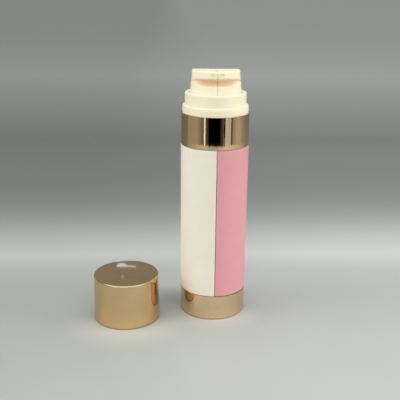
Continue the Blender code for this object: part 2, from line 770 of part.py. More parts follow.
def stem(side):
    x, y = pump_axis(side)
    profile = [
        (0, PISTON_FOOT),
        (STEM_BORE_RADIUS, PISTON_FOOT),
        (STEM_BORE_RADIUS, STEM_TOP),
        (STEM_RADIUS, STEM_TOP),
        (STEM_RADIUS, STEM_HEAD_TOP),
        (STEM_HEAD_RADIUS, STEM_HEAD_TOP),
        (STEM_HEAD_RADIUS, STEM_FOOT),
        (0, STEM_FOOT),
    ]
    mesh = turned_mesh(f"stem_{side}", profile, STEM_STEPS, x, y)
    made = add_part(f"stem_{side}", mesh, NATURAL, axes[side])
    port_z = PISTON_FOOT + STEM_PORT_RADIUS + SEAT_GAP
    port = rod_mesh(
        f"stem_port_{side}",
        (x, y - STEM_RADIUS - OVERRUN, port_z),
        (x, y + STEM_RADIUS + OVERRUN, port_z),
        STEM_PORT_RADIUS,
        PORT_STEPS,
    )
    place_tool(f"stem_port_{side}", port, [made])


def piston(side):
    lip = PUMP_BORE_RADIUS - PISTON_CLEARANCE
    waist = lip - PISTON_LIP
    bore = STEM_RADIUS + STEM_CLEARANCE
    profile = [
        (bore, PISTON_TOP),
        (lip, PISTON_TOP),
        (lip, PISTON_TOP - PISTON_LIP_HEIGHT),
        (waist, PISTON_TOP - PISTON_LIP_HEIGHT - PISTON_LIP),
        (waist, PISTON_FOOT + PISTON_LIP_HEIGHT + PISTON_LIP),
        (lip, PISTON_FOOT + PISTON_LIP_HEIGHT),
        (lip, PISTON_FOOT),
        (bore, PISTON_FOOT),
    ]
    mesh = turned_mesh(f"piston_{side}", profile, SMALL_STEPS, *pump_axis(side))
    add_part(f"piston_{side}", mesh, SEAL_WHITE, axes[side])


def spring(side):
    """A compression spring: close turns at both ends and an even rise between them."""
    x, y = pump_axis(side)
    foot = SPRING_FOOT + WIRE_RADIUS
    rise = STEM_FOOT - SEAT_GAP - WIRE_RADIUS - foot
    count = SPRING_TURNS * COIL_POINTS_PER_TURN
    curve = bpy.data.curves.new(f"spring_{side}", "CURVE")
    curve.dimensions = "3D"
    curve.bevel_depth = WIRE_RADIUS
    curve.bevel_resolution = 1
    curve.use_fill_caps = True
    line = curve.splines.new("POLY")
    line.points.add(count)
    for i, point in enumerate(line.points):
        share = i / count
        turn = share * SPRING_TURNS * 2 * math.pi
        across, along = COIL_RADIUS * math.cos(turn), COIL_RADIUS * math.sin(turn)
        point.co = (x + across, y + along, foot + rise * share, 1)
    coil = bpy.data.objects.new(f"coil_{side}", curve)
    bpy.context.scene.collection.objects.link(coil)
    bpy.context.view_layer.update()
    add_part(f"spring_{side}", evaluated_mesh(coil, f"spring_{side}"), STEEL, axes[side])


def head_profile(proud=0.0):
    """The whole head as one turned solid: the skirt, the drafted wall and the rounded top edge."""
    top = HEAD_RADIUS - BUTTON_DRAFT + proud
    profile = [(0, HEAD_TOP)]
    profile += arc((top - BUTTON_EDGE, HEAD_TOP - BUTTON_EDGE), BUTTON_EDGE, math.pi / 2, 0, EDGE_STEPS)
    profile += [(HEAD_RADIUS + proud, RING_TOP), (HEAD_RADIUS + proud, SKIRT_FOOT), (0, SKIRT_FOOT)]
    return profile


def scoop_outline():
    """The scoop seen from the front: a very shallow trough that is deepest at the seam, cut open upwards."""
    half = HEAD_RADIUS + OVERRUN
    reach = math.asin(half / SCOOP_RADIUS)
    low = math.pi * 3 / 2
    points = arc((0, SCOOP_Z + SCOOP_RADIUS), SCOOP_RADIUS, low - reach, low + reach, BOW_STEPS)
    top = HEAD_TOP + HEAD_RADIUS
    return points + [(half, top), (-half, top)]


def sector(side, radius, flat, front):
    """The part of a half disc behind a line across it."""
    start = math.asin(front / radius)
    end = math.acos(flat / radius)
    points = [(flat, front)] + arc((0, 0), radius, start, end, BOW_STEPS)
    return [(side * x, y) for x, y in points]


def oval(x, z, width, height):
    """A slot-shaped outline: two half circles and the straights between them."""
    radius = height / 2
    reach = (width - height) / 2
    right = arc((x + reach, z), radius, -math.pi / 2, math.pi / 2, CORNER_STEPS + 1)
    left = arc((x - reach, z), radius, math.pi / 2, math.pi * 3 / 2, CORNER_STEPS + 1)
    return right + left


def head_tools():
    """The cutters that both buttons share, because the finger pad and the scoop run across the head."""
    fall = math.sqrt(PAD_RADIUS**2 - (PAD_RADIUS - PAD_DEPTH) ** 2)
    pad_y = PAD_RIDGE_SET_BACK + fall
    pad_z = HEAD_TOP - PAD_DEPTH + PAD_RADIUS
    pad = rod_mesh(
        "pad_cut", (-BODY_RADIUS, pad_y, pad_z), (BODY_RADIUS, pad_y, pad_z), PAD_RADIUS, LARGE_STEPS
    )
    scoop = slab_mesh("scoop_cut", scoop_outline(), -BODY_RADIUS, -SCOOP_SET_FORWARD, upright=True)
    # The trough climbs towards the back: z grows with the distance behind the head's front wall.
    for point in scoop.vertices:
        point.co.z += (point.co.y + SCOOP_FRONT) * math.tan(SCOOP_SLOPE)
    tool = add_cutter("scoop_cut", scoop)
    soften = tool.modifiers.new("cove", "BEVEL")
    soften.width = SCOOP_COVE
    soften.segments = CORNER_STEPS
    soften.limit_method = "ANGLE"
    soften.angle_limit = math.radians(60)
    # The lip's flat underside ends the scoop, so the lip itself stays whole.
    reach = BODY_RADIUS + OVERRUN
    lip = box_mesh("lip_keep", (-reach, -reach, LIP_Z), (reach, reach, HEAD_TOP + BODY_RADIUS + reach))
    place_tool("lip_keep", lip, [tool])
    return [add_cutter("pad_cut", pad), tool]


def button(side, shared):
    """One half of the push-button head: a thin half-round cup with the finger pad and the scoop cut into
    it, a boss that sockets the pump's stem, and the duct from there to the outlet."""
    way = SIDES[side]
    x, y = pump_axis(side)
    turned = turned_mesh(f"button_{side}", head_profile(), LARGE_STEPS)
    made = add_part(f"button_{side}", turned, CREAM, axes[side])
    reach = BODY_RADIUS
    edges = sorted((way * BUTTON_SEAM, -way * reach))
    other = box_mesh(
        f"other_half_{side}", (edges[0], -reach, SKIRT_FOOT - OVERRUN), (edges[1], reach, HEAD_TOP + reach)
    )
    place_tool(f"other_half_{side}", other, [made])
    cavity = slab_mesh(
        f"cavity_{side}",
        half_round(way, HEAD_RADIUS - BUTTON_WALL, BUTTON_SEAM + BUTTON_WALL, SHELL_CORNER),
        SKIRT_FOOT - OVERRUN,
        CAVITY_TOP,
    )
    place_tool(f"cavity_{side}", cavity, [made])
    inner = HEAD_RADIUS - BUTTON_DRAFT - BUTTON_WALL
    pocket = slab_mesh(
        f"pocket_{side}",
        sector(way, inner, BUTTON_SEAM + BUTTON_WALL, -POCKET_SET_FORWARD),
        CAVITY_TOP - OVERRUN,
        POCKET_TOP,
    )
    place_tool(f"pocket_{side}", pocket, [made])
    boss = rod_mesh(
        f"boss_{side}", (x, y, BOSS_FOOT), (x, y, POCKET_TOP + OVERRUN), BOSS_RADIUS, SMALL_STEPS
    )
    place_tool(f"boss_{side}", boss, [made], "UNION")
    socket = rod_mesh(
        f"socket_{side}",
        (x, y, BOSS_FOOT - OVERRUN),
        (x, y, SOCKET_TOP),
        STEM_RADIUS + STEM_CLEARANCE,
        STEM_STEPS,
    )
    place_tool(f"socket_{side}", socket, [made])
    riser = rod_mesh(
        f"riser_{side}", (x, y, SOCKET_TOP - OVERRUN), (x, y, OUTLET_Z), DUCT_RADIUS, STEM_STEPS
    )
    place_tool(f"riser_{side}", riser, [made])
    outlet_x = way * OUTLET_OFFSET
    duct = rod_mesh(
        f"duct_{side}", (x, y, OUTLET_Z), (outlet_x, OUTLET_BACK - OVERRUN, OUTLET_Z), DUCT_RADIUS, STEM_STEPS
    )
    place_tool(f"duct_{side}", duct, [made])
    for tool in shared:
        boolean(made, tool)
    recess = slab_mesh(
        f"recess_{side}",
        oval(
            outlet_x, OUTLET_Z, OUTLET_WIDTH + 2 * OUTLET_CLEARANCE, OUTLET_HEIGHT + 2 * OUTLET_CLEARANCE
        ),
        -BODY_RADIUS,
        OUTLET_BACK + OUTLET_CLEARANCE,
        upright=True,
    )
    place_tool(f"recess_{side}", recess, [made])


def nozzle(side):
    """The small oval insert in the front wall, with its slot-shaped mouth. Its face follows the wall."""
    x = SIDES[side] * OUTLET_OFFSET
    mesh = slab_mesh(
        f"nozzle_{side}",
        oval(x, OUTLET_Z, OUTLET_WIDTH, OUTLET_HEIGHT),
        -BODY_RADIUS,
        OUTLET_BACK,
        upright=True,
    )
    made = add_part(f"nozzle_{side}", mesh, OUTLET_YELLOW, axes[side])
    wall = turned_mesh(f"nozzle_face_{side}", head_profile(OUTLET_PROUD), LARGE_STEPS)
    place_tool(f"nozzle_face_{side}", wall, [made], "INTERSECT")
    slot = slab_mesh(
        f"slot_{side}",
        oval(x, OUTLET_Z, OUTLET_SLOT_WIDTH, OUTLET_SLOT_HEIGHT),
        -BODY_RADIUS,
        OUTLET_BACK + OVERRUN,
        upright=True,
    )
    place_tool(f"slot_{side}", slot, [made])


def cap_radius(z):
    """The cap's outside narrows evenly from its mouth to its top."""
    return CAP_RADIUS - CAP_DRAFT * z / CAP_HEIGHT


def cap():
    top = cap_radius(CAP_HEIGHT)
    roof = CAP_HEIGHT - CAP_ROOF
    profile = [(0, CAP_HEIGHT)]
    profile += arc((top - CAP_EDGE, CAP_HEIGHT - CAP_EDGE), CAP_EDGE, math.pi / 2, 0, EDGE_STEPS)
    profile += [
        (CAP_RADIUS, CAP_LIP),
        (CAP_RADIUS - CAP_LIP, 0),
        (CAP_RADIUS - CAP_WALL, 0),
        (cap_radius(roof) - CAP_WALL, roof),
        (0, roof),
    ]
    add_part("cap_shell", turned_mesh("cap_shell", profile, LARGE_STEPS, CAP_X, CAP_Y), GOLD, axes["cap"])
    foot = FLANGE_RISE + SPIGOT_GAP + SEAT_GAP
    crown = roof - SEAT_GAP
    bore = RING_RADIUS + LINER_CLEARANCE
    ceiling = crown - LINER_ROOF
    profile = [
        (0, crown),
        (cap_radius(crown) - CAP_WALL - SEAT_GAP, crown),
        (cap_radius(foot) - CAP_WALL - SEAT_GAP, foot),
        (bore, foot),
        (bore, ceiling),
        (0, ceiling),
    ]
    mesh = turned_mesh("cap_liner", profile, LARGE_STEPS, CAP_X, CAP_Y)
    add_part("cap_liner", mesh, SEAL_WHITE, axes["cap"])


for name, way in SIDES.items():
    axes[name] = add_axis(f"pump_axis_{name}", way * PUMP_X, PUMP_Y)
axes["cap"] = add_axis("cap_axis", CAP_X, CAP_Y)

base_cup()
collar()
neck_plate()
closure_ring()
shared_tools = head_tools()
for name in SIDES:
    shell(name)
    inner_bottle(name)
    follower(name)
    pump_housing(name)
    gasket(name)
    lock_ring(name)
    valve_ball(name)
    spring(name)
    piston(name)
    stem(name)
    button(name, shared_tools)
    nozzle(name)
cap()

print(f"button travel {STROKE * 1000:.1f} mm, follower travel {FOLLOWER_TRAVEL * 1000:.1f} mm")
print(f"fixed end of the springs at z = {SPRING_STEP * 1000:.2f} mm, pump axes at x = {PUMP_X * 1000:.2f} mm")
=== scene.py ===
# %% [markdown]
# # A twin pump bottle with its cap standing beside it
#
# This bottle keeps two creams apart. Its body is two half-round shells, ivory and pink, that stand
# back to back in a gold base cup. A gold collar and a cream ring close the top, and two half-round
# push buttons share the head. The cap has been pulled off and stands on the table.
#
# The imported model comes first, because it says where everything is. What we make in this lesson is
# laid over it in the same metres, and each of our pieces moves with one of its bodies.

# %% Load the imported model
import math

import bmesh
import bpy
import numpy as np
from mathutils import Matrix, Vector


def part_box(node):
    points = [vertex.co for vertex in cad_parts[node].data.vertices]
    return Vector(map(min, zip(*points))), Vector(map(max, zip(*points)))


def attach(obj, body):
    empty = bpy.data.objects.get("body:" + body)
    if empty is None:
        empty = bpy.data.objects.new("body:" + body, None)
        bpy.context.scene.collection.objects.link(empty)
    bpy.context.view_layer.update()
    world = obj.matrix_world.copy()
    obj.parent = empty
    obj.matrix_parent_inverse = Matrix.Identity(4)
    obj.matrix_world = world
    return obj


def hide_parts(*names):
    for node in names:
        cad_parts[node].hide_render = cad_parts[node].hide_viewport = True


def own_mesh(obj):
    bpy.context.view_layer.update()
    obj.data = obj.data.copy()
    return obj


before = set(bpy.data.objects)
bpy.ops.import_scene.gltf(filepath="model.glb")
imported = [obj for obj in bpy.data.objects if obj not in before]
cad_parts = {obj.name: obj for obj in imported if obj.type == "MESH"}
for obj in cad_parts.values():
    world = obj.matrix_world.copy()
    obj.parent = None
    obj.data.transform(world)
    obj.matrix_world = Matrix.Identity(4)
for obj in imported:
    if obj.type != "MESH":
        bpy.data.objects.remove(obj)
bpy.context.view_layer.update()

MM = 0.001

# %% [markdown]
# ## The camera
#
# A camera can be aimed by eye, but a fitted one lets us compare the picture with the photograph
# pixel by pixel. The photograph looks about 18 degrees down on the bottle from a little more than a
# third of a metre away. The lens comes from how fast things shrink with distance: the ellipses of
# the base and the cap are rounder than those of the collar.

# %% Camera
def placed(name, data):
    """A new object in the scene."""
    made = bpy.data.objects.new(name, data)
    bpy.context.scene.collection.objects.link(made)
    return made


FRAME_PIXELS = 400
FOCAL_PIXELS = 665.9
VIEW_TURN = math.radians(3.0)
LOOK_DOWN = math.radians(17.99)
ROLL = math.radians(0.655)
STAND = Vector((-0.00793, -0.3645, 0.185))

lens = bpy.data.cameras.new("camera")
lens.sensor_width = 36
lens.lens = lens.sensor_width * FOCAL_PIXELS / FRAME_PIXELS
camera = placed("camera", lens)
turn = Matrix.Rotation(-VIEW_TURN, 4, "Z")
tilt = Matrix.Rotation(math.pi / 2 - LOOK_DOWN, 4, "X")
camera.matrix_world = Matrix.Translation(turn @ STAND) @ turn @ tilt @ Matrix.Rotation(ROLL, 4, "Z")
bpy.context.scene.camera = camera
print("camera stands at", [round(v, 4) for v in camera.matrix_world.translation])

# %% [markdown]
# ## From arrays to a piece
#
# Every new piece below is one or more grids of points, in millimetres, that numpy works out at once.
# A grid becomes quads, the grids of a piece are welded where they meet, and the welded mesh is
# checked: a closed skin has two faces on every edge, and its volume is positive only if the faces
# look outwards.

# %% Grids to meshes
WELD = 1e-6
CREASE = math.radians(35)


def grid_quads(rows, columns, closed):
    """Quad (i, j) joins grid points (i, j), (i, j+1), (i+1, j+1) and (i+1, j). On a closed grid the
    last column is joined to the first."""
    index = np.arange(rows * columns).reshape(rows, columns)
    here, right = (index, np.roll(index, -1, axis=1)) if closed else (index[:, :-1], index[:, 1:])
    return np.stack([here[:-1], right[:-1], right[1:], here[1:]], axis=-1).reshape(-1, 4)


def mesh_of(name, grids):
    """One welded mesh from (points, closed) grids, in metres and with its faces turned outwards."""
    points, quads, count = [], [], 0
    for grid, closed in grids:
        points.append(grid.reshape(-1, 3) * MM)
        quads.append(grid_quads(*grid.shape[:2], closed) + count)
        count += len(points[-1])
    points, quads = np.concatenate(points), np.concatenate(quads)
    mesh = bpy.data.meshes.new(name)
    mesh.from_pydata(points.tolist(), [], quads.tolist(), shade_flat=False)
    solid = bmesh.new()
    solid.from_mesh(mesh)
    bmesh.ops.remove_doubles(solid, verts=solid.verts, dist=WELD)
    volume = solid.calc_volume(signed=True)
    if volume < 0:
        bmesh.ops.reverse_faces(solid, faces=solid.faces)
    open_edges = sum(len(edge.link_faces) != 2 for edge in solid.edges)
    solid.to_mesh(mesh)
    solid.free()
    print(f"{name}: {len(mesh.polygons)} faces, {abs(volume) / MM**3:.0f} mm3, {open_edges} open edges")
    return mesh


def add_piece(name, mesh, finish, body, stands_for):
    """A shown piece: smooth but for its creases, riding on its body."""
    mesh.shade_smooth()
    mesh.set_sharp_from_angle(angle=CREASE)
    mesh.materials.clear()
    mesh.materials.append(finish)
    made = placed(name, mesh)
    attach(made, body)
    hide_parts(stands_for)
    return made


# %% [markdown]
# ## Profiles
#
# Most of this bottle is turned: a flat profile of radius and height, spun about the upright axis.
# Real edges are never quite sharp, and a rounded edge is what catches the light, so each corner of
# a profile gets its own radius. Beside every rounding goes a row of points very close to it, which
# keeps the shading of the long straight walls straight.

# %% Rounded profiles and turned grids
SUPPORT, ARC_STEPS = 0.03, 6


def rounded(corners, radii):
    """The polygon's corners replaced by arcs. The arc's centre is on the corner's bisector, and its
    ends are where the circle touches both sides: at radius / tan(half the corner's angle)."""
    corners = np.array(corners, float)
    out = []
    befores, afters = np.roll(corners, 1, 0), np.roll(corners, -1, 0)
    for before, corner, after, radius in zip(befores, corners, afters, radii):
        if radius == 0:
            out.append(corner[None])
            continue
        a, b = (side / np.linalg.norm(side) for side in (before - corner, after - corner))
        half = math.acos(np.clip(a @ b, -1, 1)) / 2
        reach = radius / math.tan(half)
        centre = corner + (a + b) / np.linalg.norm(a + b) * radius / math.sin(half)
        start, end = (corner + a * reach - centre) / radius, (corner + b * reach - centre) / radius
        swing = math.pi - 2 * half
        share = np.linspace(0, 1, ARC_STEPS + 1)[:, None]
        arc = (np.sin((1 - share) * swing) * start + np.sin(share * swing) * end) / math.sin(swing)
        out.append(corner + a * (reach + SUPPORT))
        out.append(centre + radius * arc)
        out.append(corner + b * (reach + SUPPORT))
    return np.concatenate([np.atleast_2d(p) for p in out])


def dense(profile, longest):
    """The profile with its long sides cut into equal lengths, none longer than `longest`."""
    lengths = np.linalg.norm(np.diff(profile, axis=0), axis=1)
    cuts = np.maximum(1, np.ceil(lengths / longest)).astype(int)
    start = np.repeat(np.arange(len(cuts)), cuts)
    share = (np.arange(cuts.sum()) - np.repeat(np.cumsum(cuts) - cuts, cuts)) / cuts[start]
    inner = profile[start] + share[:, None] * (profile[start + 1] - profile[start])
    return np.vstack([inner, profile[-1]])


def turned(profile, columns=256, centre=(0.0, 0.0)):
    """Grid point (i, j) is profile point i at angle a = 2 pi j / columns about the axis:
    x = centre + r sin a, y = centre - r cos a, z = height."""
    angle = np.arange(columns) * 2 * np.pi / columns
    radius, height = profile[:, :1], profile[:, 1:]
    x = centre[0] + radius * np.sin(angle)
    y = centre[1] - radius * np.cos(angle)
    return np.stack([x, y, np.broadcast_to(height, x.shape)], axis=-1)


def turned_mesh(name, corners, radii, longest=2.5, centre=(0.0, 0.0), ring=False):
    """A closed turned piece from profile corners in millimetres. A ring's profile ends where it began;
    any other starts and ends on the axis."""
    profile = rounded(corners, radii)
    if ring:
        profile = np.vstack([profile, profile[:1]])
    return mesh_of(name, [(turned(dense(profile, longest), centre=centre), True)])


# %% [markdown]
# ## Nodes for the finishes
#
# A finish is a small graph of nodes. One helper adds a node, sets its properties and feeds its
# inputs, so that each graph reads like a recipe. Colours are given as the eye sees them on a screen,
# from 0 to 255, and turned into the linear light that Blender works in.

# %% Node helpers
def light_of(red, green, blue):
    """Linear light of a screen colour: ((c + 0.055) / 1.055) to the power 2.4, straight near black.
    The last number is the alpha, 1."""
    c = np.array([red, green, blue]) / 255
    linear = np.where(c <= 0.04045, c / 12.92, ((c + 0.055) / 1.055) ** 2.4)
    return *map(float, linear), 1.0


def node(tree, kind, inputs=None, **settings):
    """Adds a shader node. A value goes onto the socket itself, and another node's output is linked."""
    made = tree.nodes.new("ShaderNode" + kind)
    for key, value in settings.items():
        setattr(made, key, value)
    for key, value in (inputs or {}).items():
        if isinstance(value, bpy.types.NodeSocket):
            tree.links.new(value, made.inputs[key])
        else:
            made.inputs[key].default_value = value
    return made


def new_finish(name, **sockets):
    """A material with one Principled shader, whose fixed values go straight onto its sockets. Its tree,
    its shader and the place on the piece come with it."""
    made = bpy.data.materials.new(name)
    made.use_nodes = True
    shader = made.node_tree.nodes["Principled BSDF"]
    for key, value in sockets.items():
        shader.inputs[key.replace("_", " ")].default_value = value
    place = node(made.node_tree, "TexCoord").outputs["Object"]
    return made, made.node_tree, shader, place


def feed(shader, **sockets):
    """Links the outputs of other nodes to a shader's inputs."""
    for key, output in sockets.items():
        shader.id_data.links.new(output, shader.inputs[key.replace("_", " ")])


def noise(tree, place, scale, detail=2.0, distortion=0.0):
    """Smooth random bumps, about 1 / scale metres apart."""
    inputs = {"Vector": place, "Scale": scale, "Detail": detail, "Distortion": distortion}
    return node(tree, "TexNoise", inputs).outputs["Fac"]


def ranged(tree, value, low, high, new_low=0.0, new_high=1.0, **settings):
    """A value carried from one range to another, and kept inside it."""
    inputs = {"Value": value, "From Min": low, "From Max": high, "To Min": new_low, "To Max": new_high}
    return node(tree, "MapRange", inputs, **settings).outputs["Result"]


def spread(tree, value, low, high):
    """Carries the middle of a noise, 0.3 to 0.7, to the range from low to high."""
    return ranged(tree, value, 0.3, 0.7, low, high)


def numbers(tree, operation, first, second=0.0):
    """One step with numbers."""
    return node(tree, "Math", {0: first, 1: second}, operation=operation).outputs[0]


def vectors(tree, operation, first, second=(0, 0, 0)):
    """One step with vectors. SCALE takes a number as its second, and LENGTH gives one."""
    inputs = {0: first, "Scale" if operation == "SCALE" else 1: second}
    outputs = node(tree, "VectorMath", inputs, operation=operation).outputs
    return outputs["Value" if operation == "LENGTH" else "Vector"]


def bumped(tree, height, distance, **before):
    """The faces' directions tilted by a height. An earlier tilt goes in as Normal."""
    inputs = {"Height": height, "Distance": distance, **before}
    return node(tree, "Bump", inputs).outputs["Normal"]


def mixed(tree, share, first, second):
    """A colour between two colours."""
    inputs = {0: share, 6: first, 7: second}
    return node(tree, "Mix", inputs, data_type="RGBA").outputs[2]


# %% [markdown]
# ## Champagne gold
#
# The base, the collar and the cap are drawn aluminium with a gold anodised coat. Drawing stretches
# the metal upwards, so its faint waves run along the axis, and the coat is a touch thicker here and
# thinner there. We turn the place on the piece into a direction round its axis plus a slow height.
# Noise read there makes tall streaks that close without a seam behind the piece. They act on the
# side walls only; near the axis the metal stays plain.
#
# Where the base and the cap meet the table, a thin dark line of contact shadow is painted into the
# coat: it darkens to half over the lowest millimetre. The collar lies far above and isn't touched by
# this.

# %% Gold
GOLD_ROUGH = (0.02, 0.04)
WAVE_HEIGHT, GRAIN_HEIGHT = 1.8e-5, 1.8e-7
SIDE_FROM, SIDE_FULL = 0.017, 0.0185
# Heights in metres of the painted contact shadow at the foot, and how dark it gets there.
FOOT_DARK, FOOT_CLEAR, FOOT_SHADE = 0.0003, 0.0009, 0.5


def gold_finish(name, colour, foot=(0, 0, 0)):
    """Clouds vary the coat, the finest noise its gloss and grain, and streaks bend the side walls."""
    made, tree, shader, place = new_finish(name, Metallic=1.0)
    centred = vectors(tree, "SUBTRACT", place, foot)
    level = vectors(tree, "MULTIPLY", centred, (1, 1, 0))
    slow_height = vectors(tree, "MULTIPLY", centred, (0, 0, 6))
    streak_place = vectors(tree, "ADD", vectors(tree, "NORMALIZE", level), slow_height)
    streaks = noise(tree, streak_place, 9.0, detail=4.0)
    fine = noise(tree, centred, 2500.0, detail=3.0)
    cloud = noise(tree, centred, 110.0)
    coat = mixed(tree, spread(tree, cloud, 0, 1), (*(c * 0.93 for c in colour), 1), (*colour, 1))
    # Painted contact shadow: the coat's colour is scaled to FOOT_SHADE at the foot and back to full at
    # FOOT_CLEAR.
    height = node(tree, "SeparateXYZ", {0: place}).outputs["Z"]
    clear = ranged(tree, height, FOOT_DARK, FOOT_CLEAR, FOOT_SHADE)
    on_side = ranged(tree, vectors(tree, "LENGTH", level), SIDE_FROM, SIDE_FULL)
    wavy = bumped(tree, numbers(tree, "MULTIPLY", streaks, on_side), WAVE_HEIGHT)
    feed(
        shader,
        Base_Color=vectors(tree, "SCALE", coat, clear),
        Roughness=spread(tree, fine, *GOLD_ROUGH),
        Normal=bumped(tree, fine, GRAIN_HEIGHT, Normal=wavy),
    )
    return made


CAP_CENTRE = (-50.5, -10.5)
CAP_FOOT = (CAP_CENTRE[0] * MM, CAP_CENTRE[1] * MM, 0)
base_gold = gold_finish("base_gold", (0.81, 0.6, 0.367))
collar_gold = gold_finish("collar_gold", (0.78, 0.55, 0.29))
cap_gold = gold_finish("cap_gold", (0.77, 0.535, 0.275), CAP_FOOT)
print("gold finishes made")

# %% [markdown]
# ## Plastics
#
# The shells and the head are moulded. Moulded plastic is not one flat colour either: the mould's
# spark-eroded face leaves a grain of a fifth of a millimetre, the melt flows in faint clouds, and
# light wanders a little way in before it comes out. Each plastic is the same recipe with its own
# colour, gloss, grain and depth. The size of its clouds is given in millimetres.

# %% Plastic
LIGHT_REACH = 0.0015


def plastic_finish(name, colour, shade, rough, grain=1.2e-6, depth=0.0, cloud_size=14.0):
    """Clouds mix the colour with its shade, a finer noise varies the gloss, the finest is the grain."""
    fixed = {"Subsurface_Weight": depth, "Subsurface_Scale": LIGHT_REACH, "IOR": 1.49}
    made, tree, shader, place = new_finish(name, **fixed)
    cloud = spread(tree, noise(tree, place, 1 / (cloud_size * MM), detail=3.0, distortion=0.6), 0, 1)
    feed(
        shader,
        Base_Color=mixed(tree, cloud, light_of(*shade), light_of(*colour)),
        Roughness=spread(tree, noise(tree, place, 1500.0), *rough),
        Normal=bumped(tree, noise(tree, place, 5000.0), grain),
    )
    return made


ivory = plastic_finish("ivory_shell", (238, 230, 213), (235, 226, 208), (0.36, 0.46))
pink = plastic_finish("pink_shell", (223, 157, 162), (219, 152, 158), (0.36, 0.46))
cream = plastic_finish("ring_cream", (246, 236, 208), (243, 233, 203), (0.28, 0.38), depth=0.15)
liner_white = plastic_finish("liner_white", (238, 238, 235), (232, 232, 229), (0.4, 0.5))
print("plastics made")

# %% [markdown]
# The head's plastic is nearly the ring's, but its scoop is darker and browner: light that gets in there
# bounces from cream to cream before it leaves. That shade and bounced light are painted. The piece
# carries a number at each point, how deep it lies under the head's round outline, and with it a painted
# tan shade is mixed into the finish, also along the seam between the buttons.

# %% Head plastic
button_cream = plastic_finish(
    "button_cream", (247, 237, 210), (244, 234, 205), (0.26, 0.36), depth=0.15
)
tree = button_cream.node_tree
shader = tree.nodes["Principled BSDF"]
tone = shader.inputs["Base Color"].links[0].from_socket
# Painted shade: where the scoop is deep and along the seam, the finish is mixed towards tan.
hollow = node(tree, "Attribute", attribute_name="hollow").outputs["Fac"]
feed(shader, Base_Color=mixed(tree, hollow, tone, light_of(232, 199, 156)))

outlet_yellow = plastic_finish(
    "nozzle_yellow", (250, 236, 138), (246, 230, 126), (0.18, 0.26), cloud_size=2.0
)
print("head finishes made")

# %% [markdown]
# ## Base cup
#
# The base is a shallow gold cup that both shells press into. It is a ring wall and a floor, so one
# turned profile gives inside and outside together. Two vent holes let air in behind the followers
# as the creams are used up; they are cut afterwards, because they are not round the main axis.

# %% Base cup
def cut(target, tool_mesh):
    """Takes the tool's volume out of the piece, and leaves plain mesh behind."""
    tool = placed("tool", tool_mesh)
    step = target.modifiers.new("cut", "BOOLEAN")
    step.object, step.operation, step.solver = tool, "DIFFERENCE", "EXACT"
    bpy.context.view_layer.update()
    seen = target.evaluated_get(bpy.context.evaluated_depsgraph_get())
    mesh = bpy.data.meshes.new_from_object(seen)
    mesh.set_sharp_from_angle(angle=CREASE)
    target.modifiers.clear()
    target.data = mesh
    bpy.data.objects.remove(tool)
    print(f"{target.name}: {len(mesh.polygons)} faces after the cut")


def drill(target, radius, low, high, centre):
    """An upright round hole from one height to another, in millimetres."""
    corners = [(0, low), (radius, low), (radius, high), (0, high)]
    cut(target, turned_mesh("drill", corners, [0, 0, 0, 0], centre=centre))


VENT_RADIUS, VENT_X = 0.75, 8.5
base_corners = [(0, 0), (19.0, 0), (19.0, 14.3), (18.0, 14.3), (18.0, 1.5), (0, 1.5)]
mesh = turned_mesh("base_sleeve", base_corners, [0, 0.6, 0.12, 0.12, 0.4, 0])
base = add_piece("base_sleeve", mesh, base_gold, "bottle", "base_cup")
for side in (-1, 1):
    drill(base, VENT_RADIUS, -1, 3, (side * VENT_X, 0))

# %% [markdown]
# ## Half-round outlines
#
# The shells and the buttons are halves of a round. Seen from above, the outline runs from the seam's
# front corner round the arc to its back corner, and straight home along the seam. We keep as many
# points on the straight as on the arc, at the same distances from front to back. Then point i of
# the arc and point i of the straight can be joined across, which closes a top or a floor.

# %% Half-round outlines
ARC_POINTS, ROUND_POINTS = 193, 9
HALF_POINTS = ARC_POINTS + 2 * (ROUND_POINTS - 1)


def half_outline(radius, flat, corner):
    """Arc and straight of one half on the +x side, as two (points, 2) arrays from front to back.
    The corner's circle touches the straight at x = flat and the arc from inside, so its centre is
    at x = flat + corner, and at the distance radius - corner from the axis."""
    reach = np.sqrt((radius - corner) ** 2 - (flat + corner) ** 2)
    lean = np.arctan2(reach, flat + corner)
    swing = np.linspace(np.pi, 2 * np.pi - lean, ROUND_POINTS)[:-1]
    front = np.stack([flat + corner + corner * np.cos(swing), -reach + corner * np.sin(swing)], -1)
    angle = np.linspace(-lean, lean, ARC_POINTS)
    middle = radius * np.stack([np.cos(angle), np.sin(angle)], -1)
    back = front[::-1] * (1, -1)
    arc = np.concatenate([front, middle, back])
    straight = np.stack([np.full(len(arc), flat), np.clip(arc[:, 1], -reach, reach)], -1)
    return arc, straight


def half_rows(rows):
    """Arcs and straights of rows of (radius, flat, corner, height), as two (rows, points, 3) arrays."""
    arcs, straights = zip(*(half_outline(*row[:3]) for row in rows))
    heights = np.array([row[3] for row in rows])[:, None, None] * np.ones((1, HALF_POINTS, 1))
    return [np.concatenate([np.array(part), heights], -1) for part in (arcs, straights)]


def half_stack(rows):
    """A skin over such rows from the first to the last, closed at both ends by joining arc and
    straight. Returns grids for mesh_of."""
    arcs, straights = half_rows(rows)
    skin = np.concatenate([arcs, straights[:, ::-1]], axis=1)
    ends = [np.stack([straights[0], arcs[0]]), np.stack([arcs[-1], straights[-1]])]
    return [(skin, True), (ends[0], False), (ends[1], False)]


def mirrored(grids, side):
    """The same grids for side 1, and with x turned round for side -1; mesh_of sees to the faces."""
    return [(grid * (side, 1.0, 1.0), closed) for grid, closed in grids]


# %% [markdown]
# ## Ivory and pink shells
#
# Each shell is a half-round tube. Its foot is stepped in to sit in the base cup, its head is stepped
# in to sit in the collar, and the wall between them is what we see. The two straight walls face each
# other across a gap of a quarter of a millimetre, and their rounded corners make the fine upright line
# down the front. A hole in each shell's top lets the chamber's neck through.

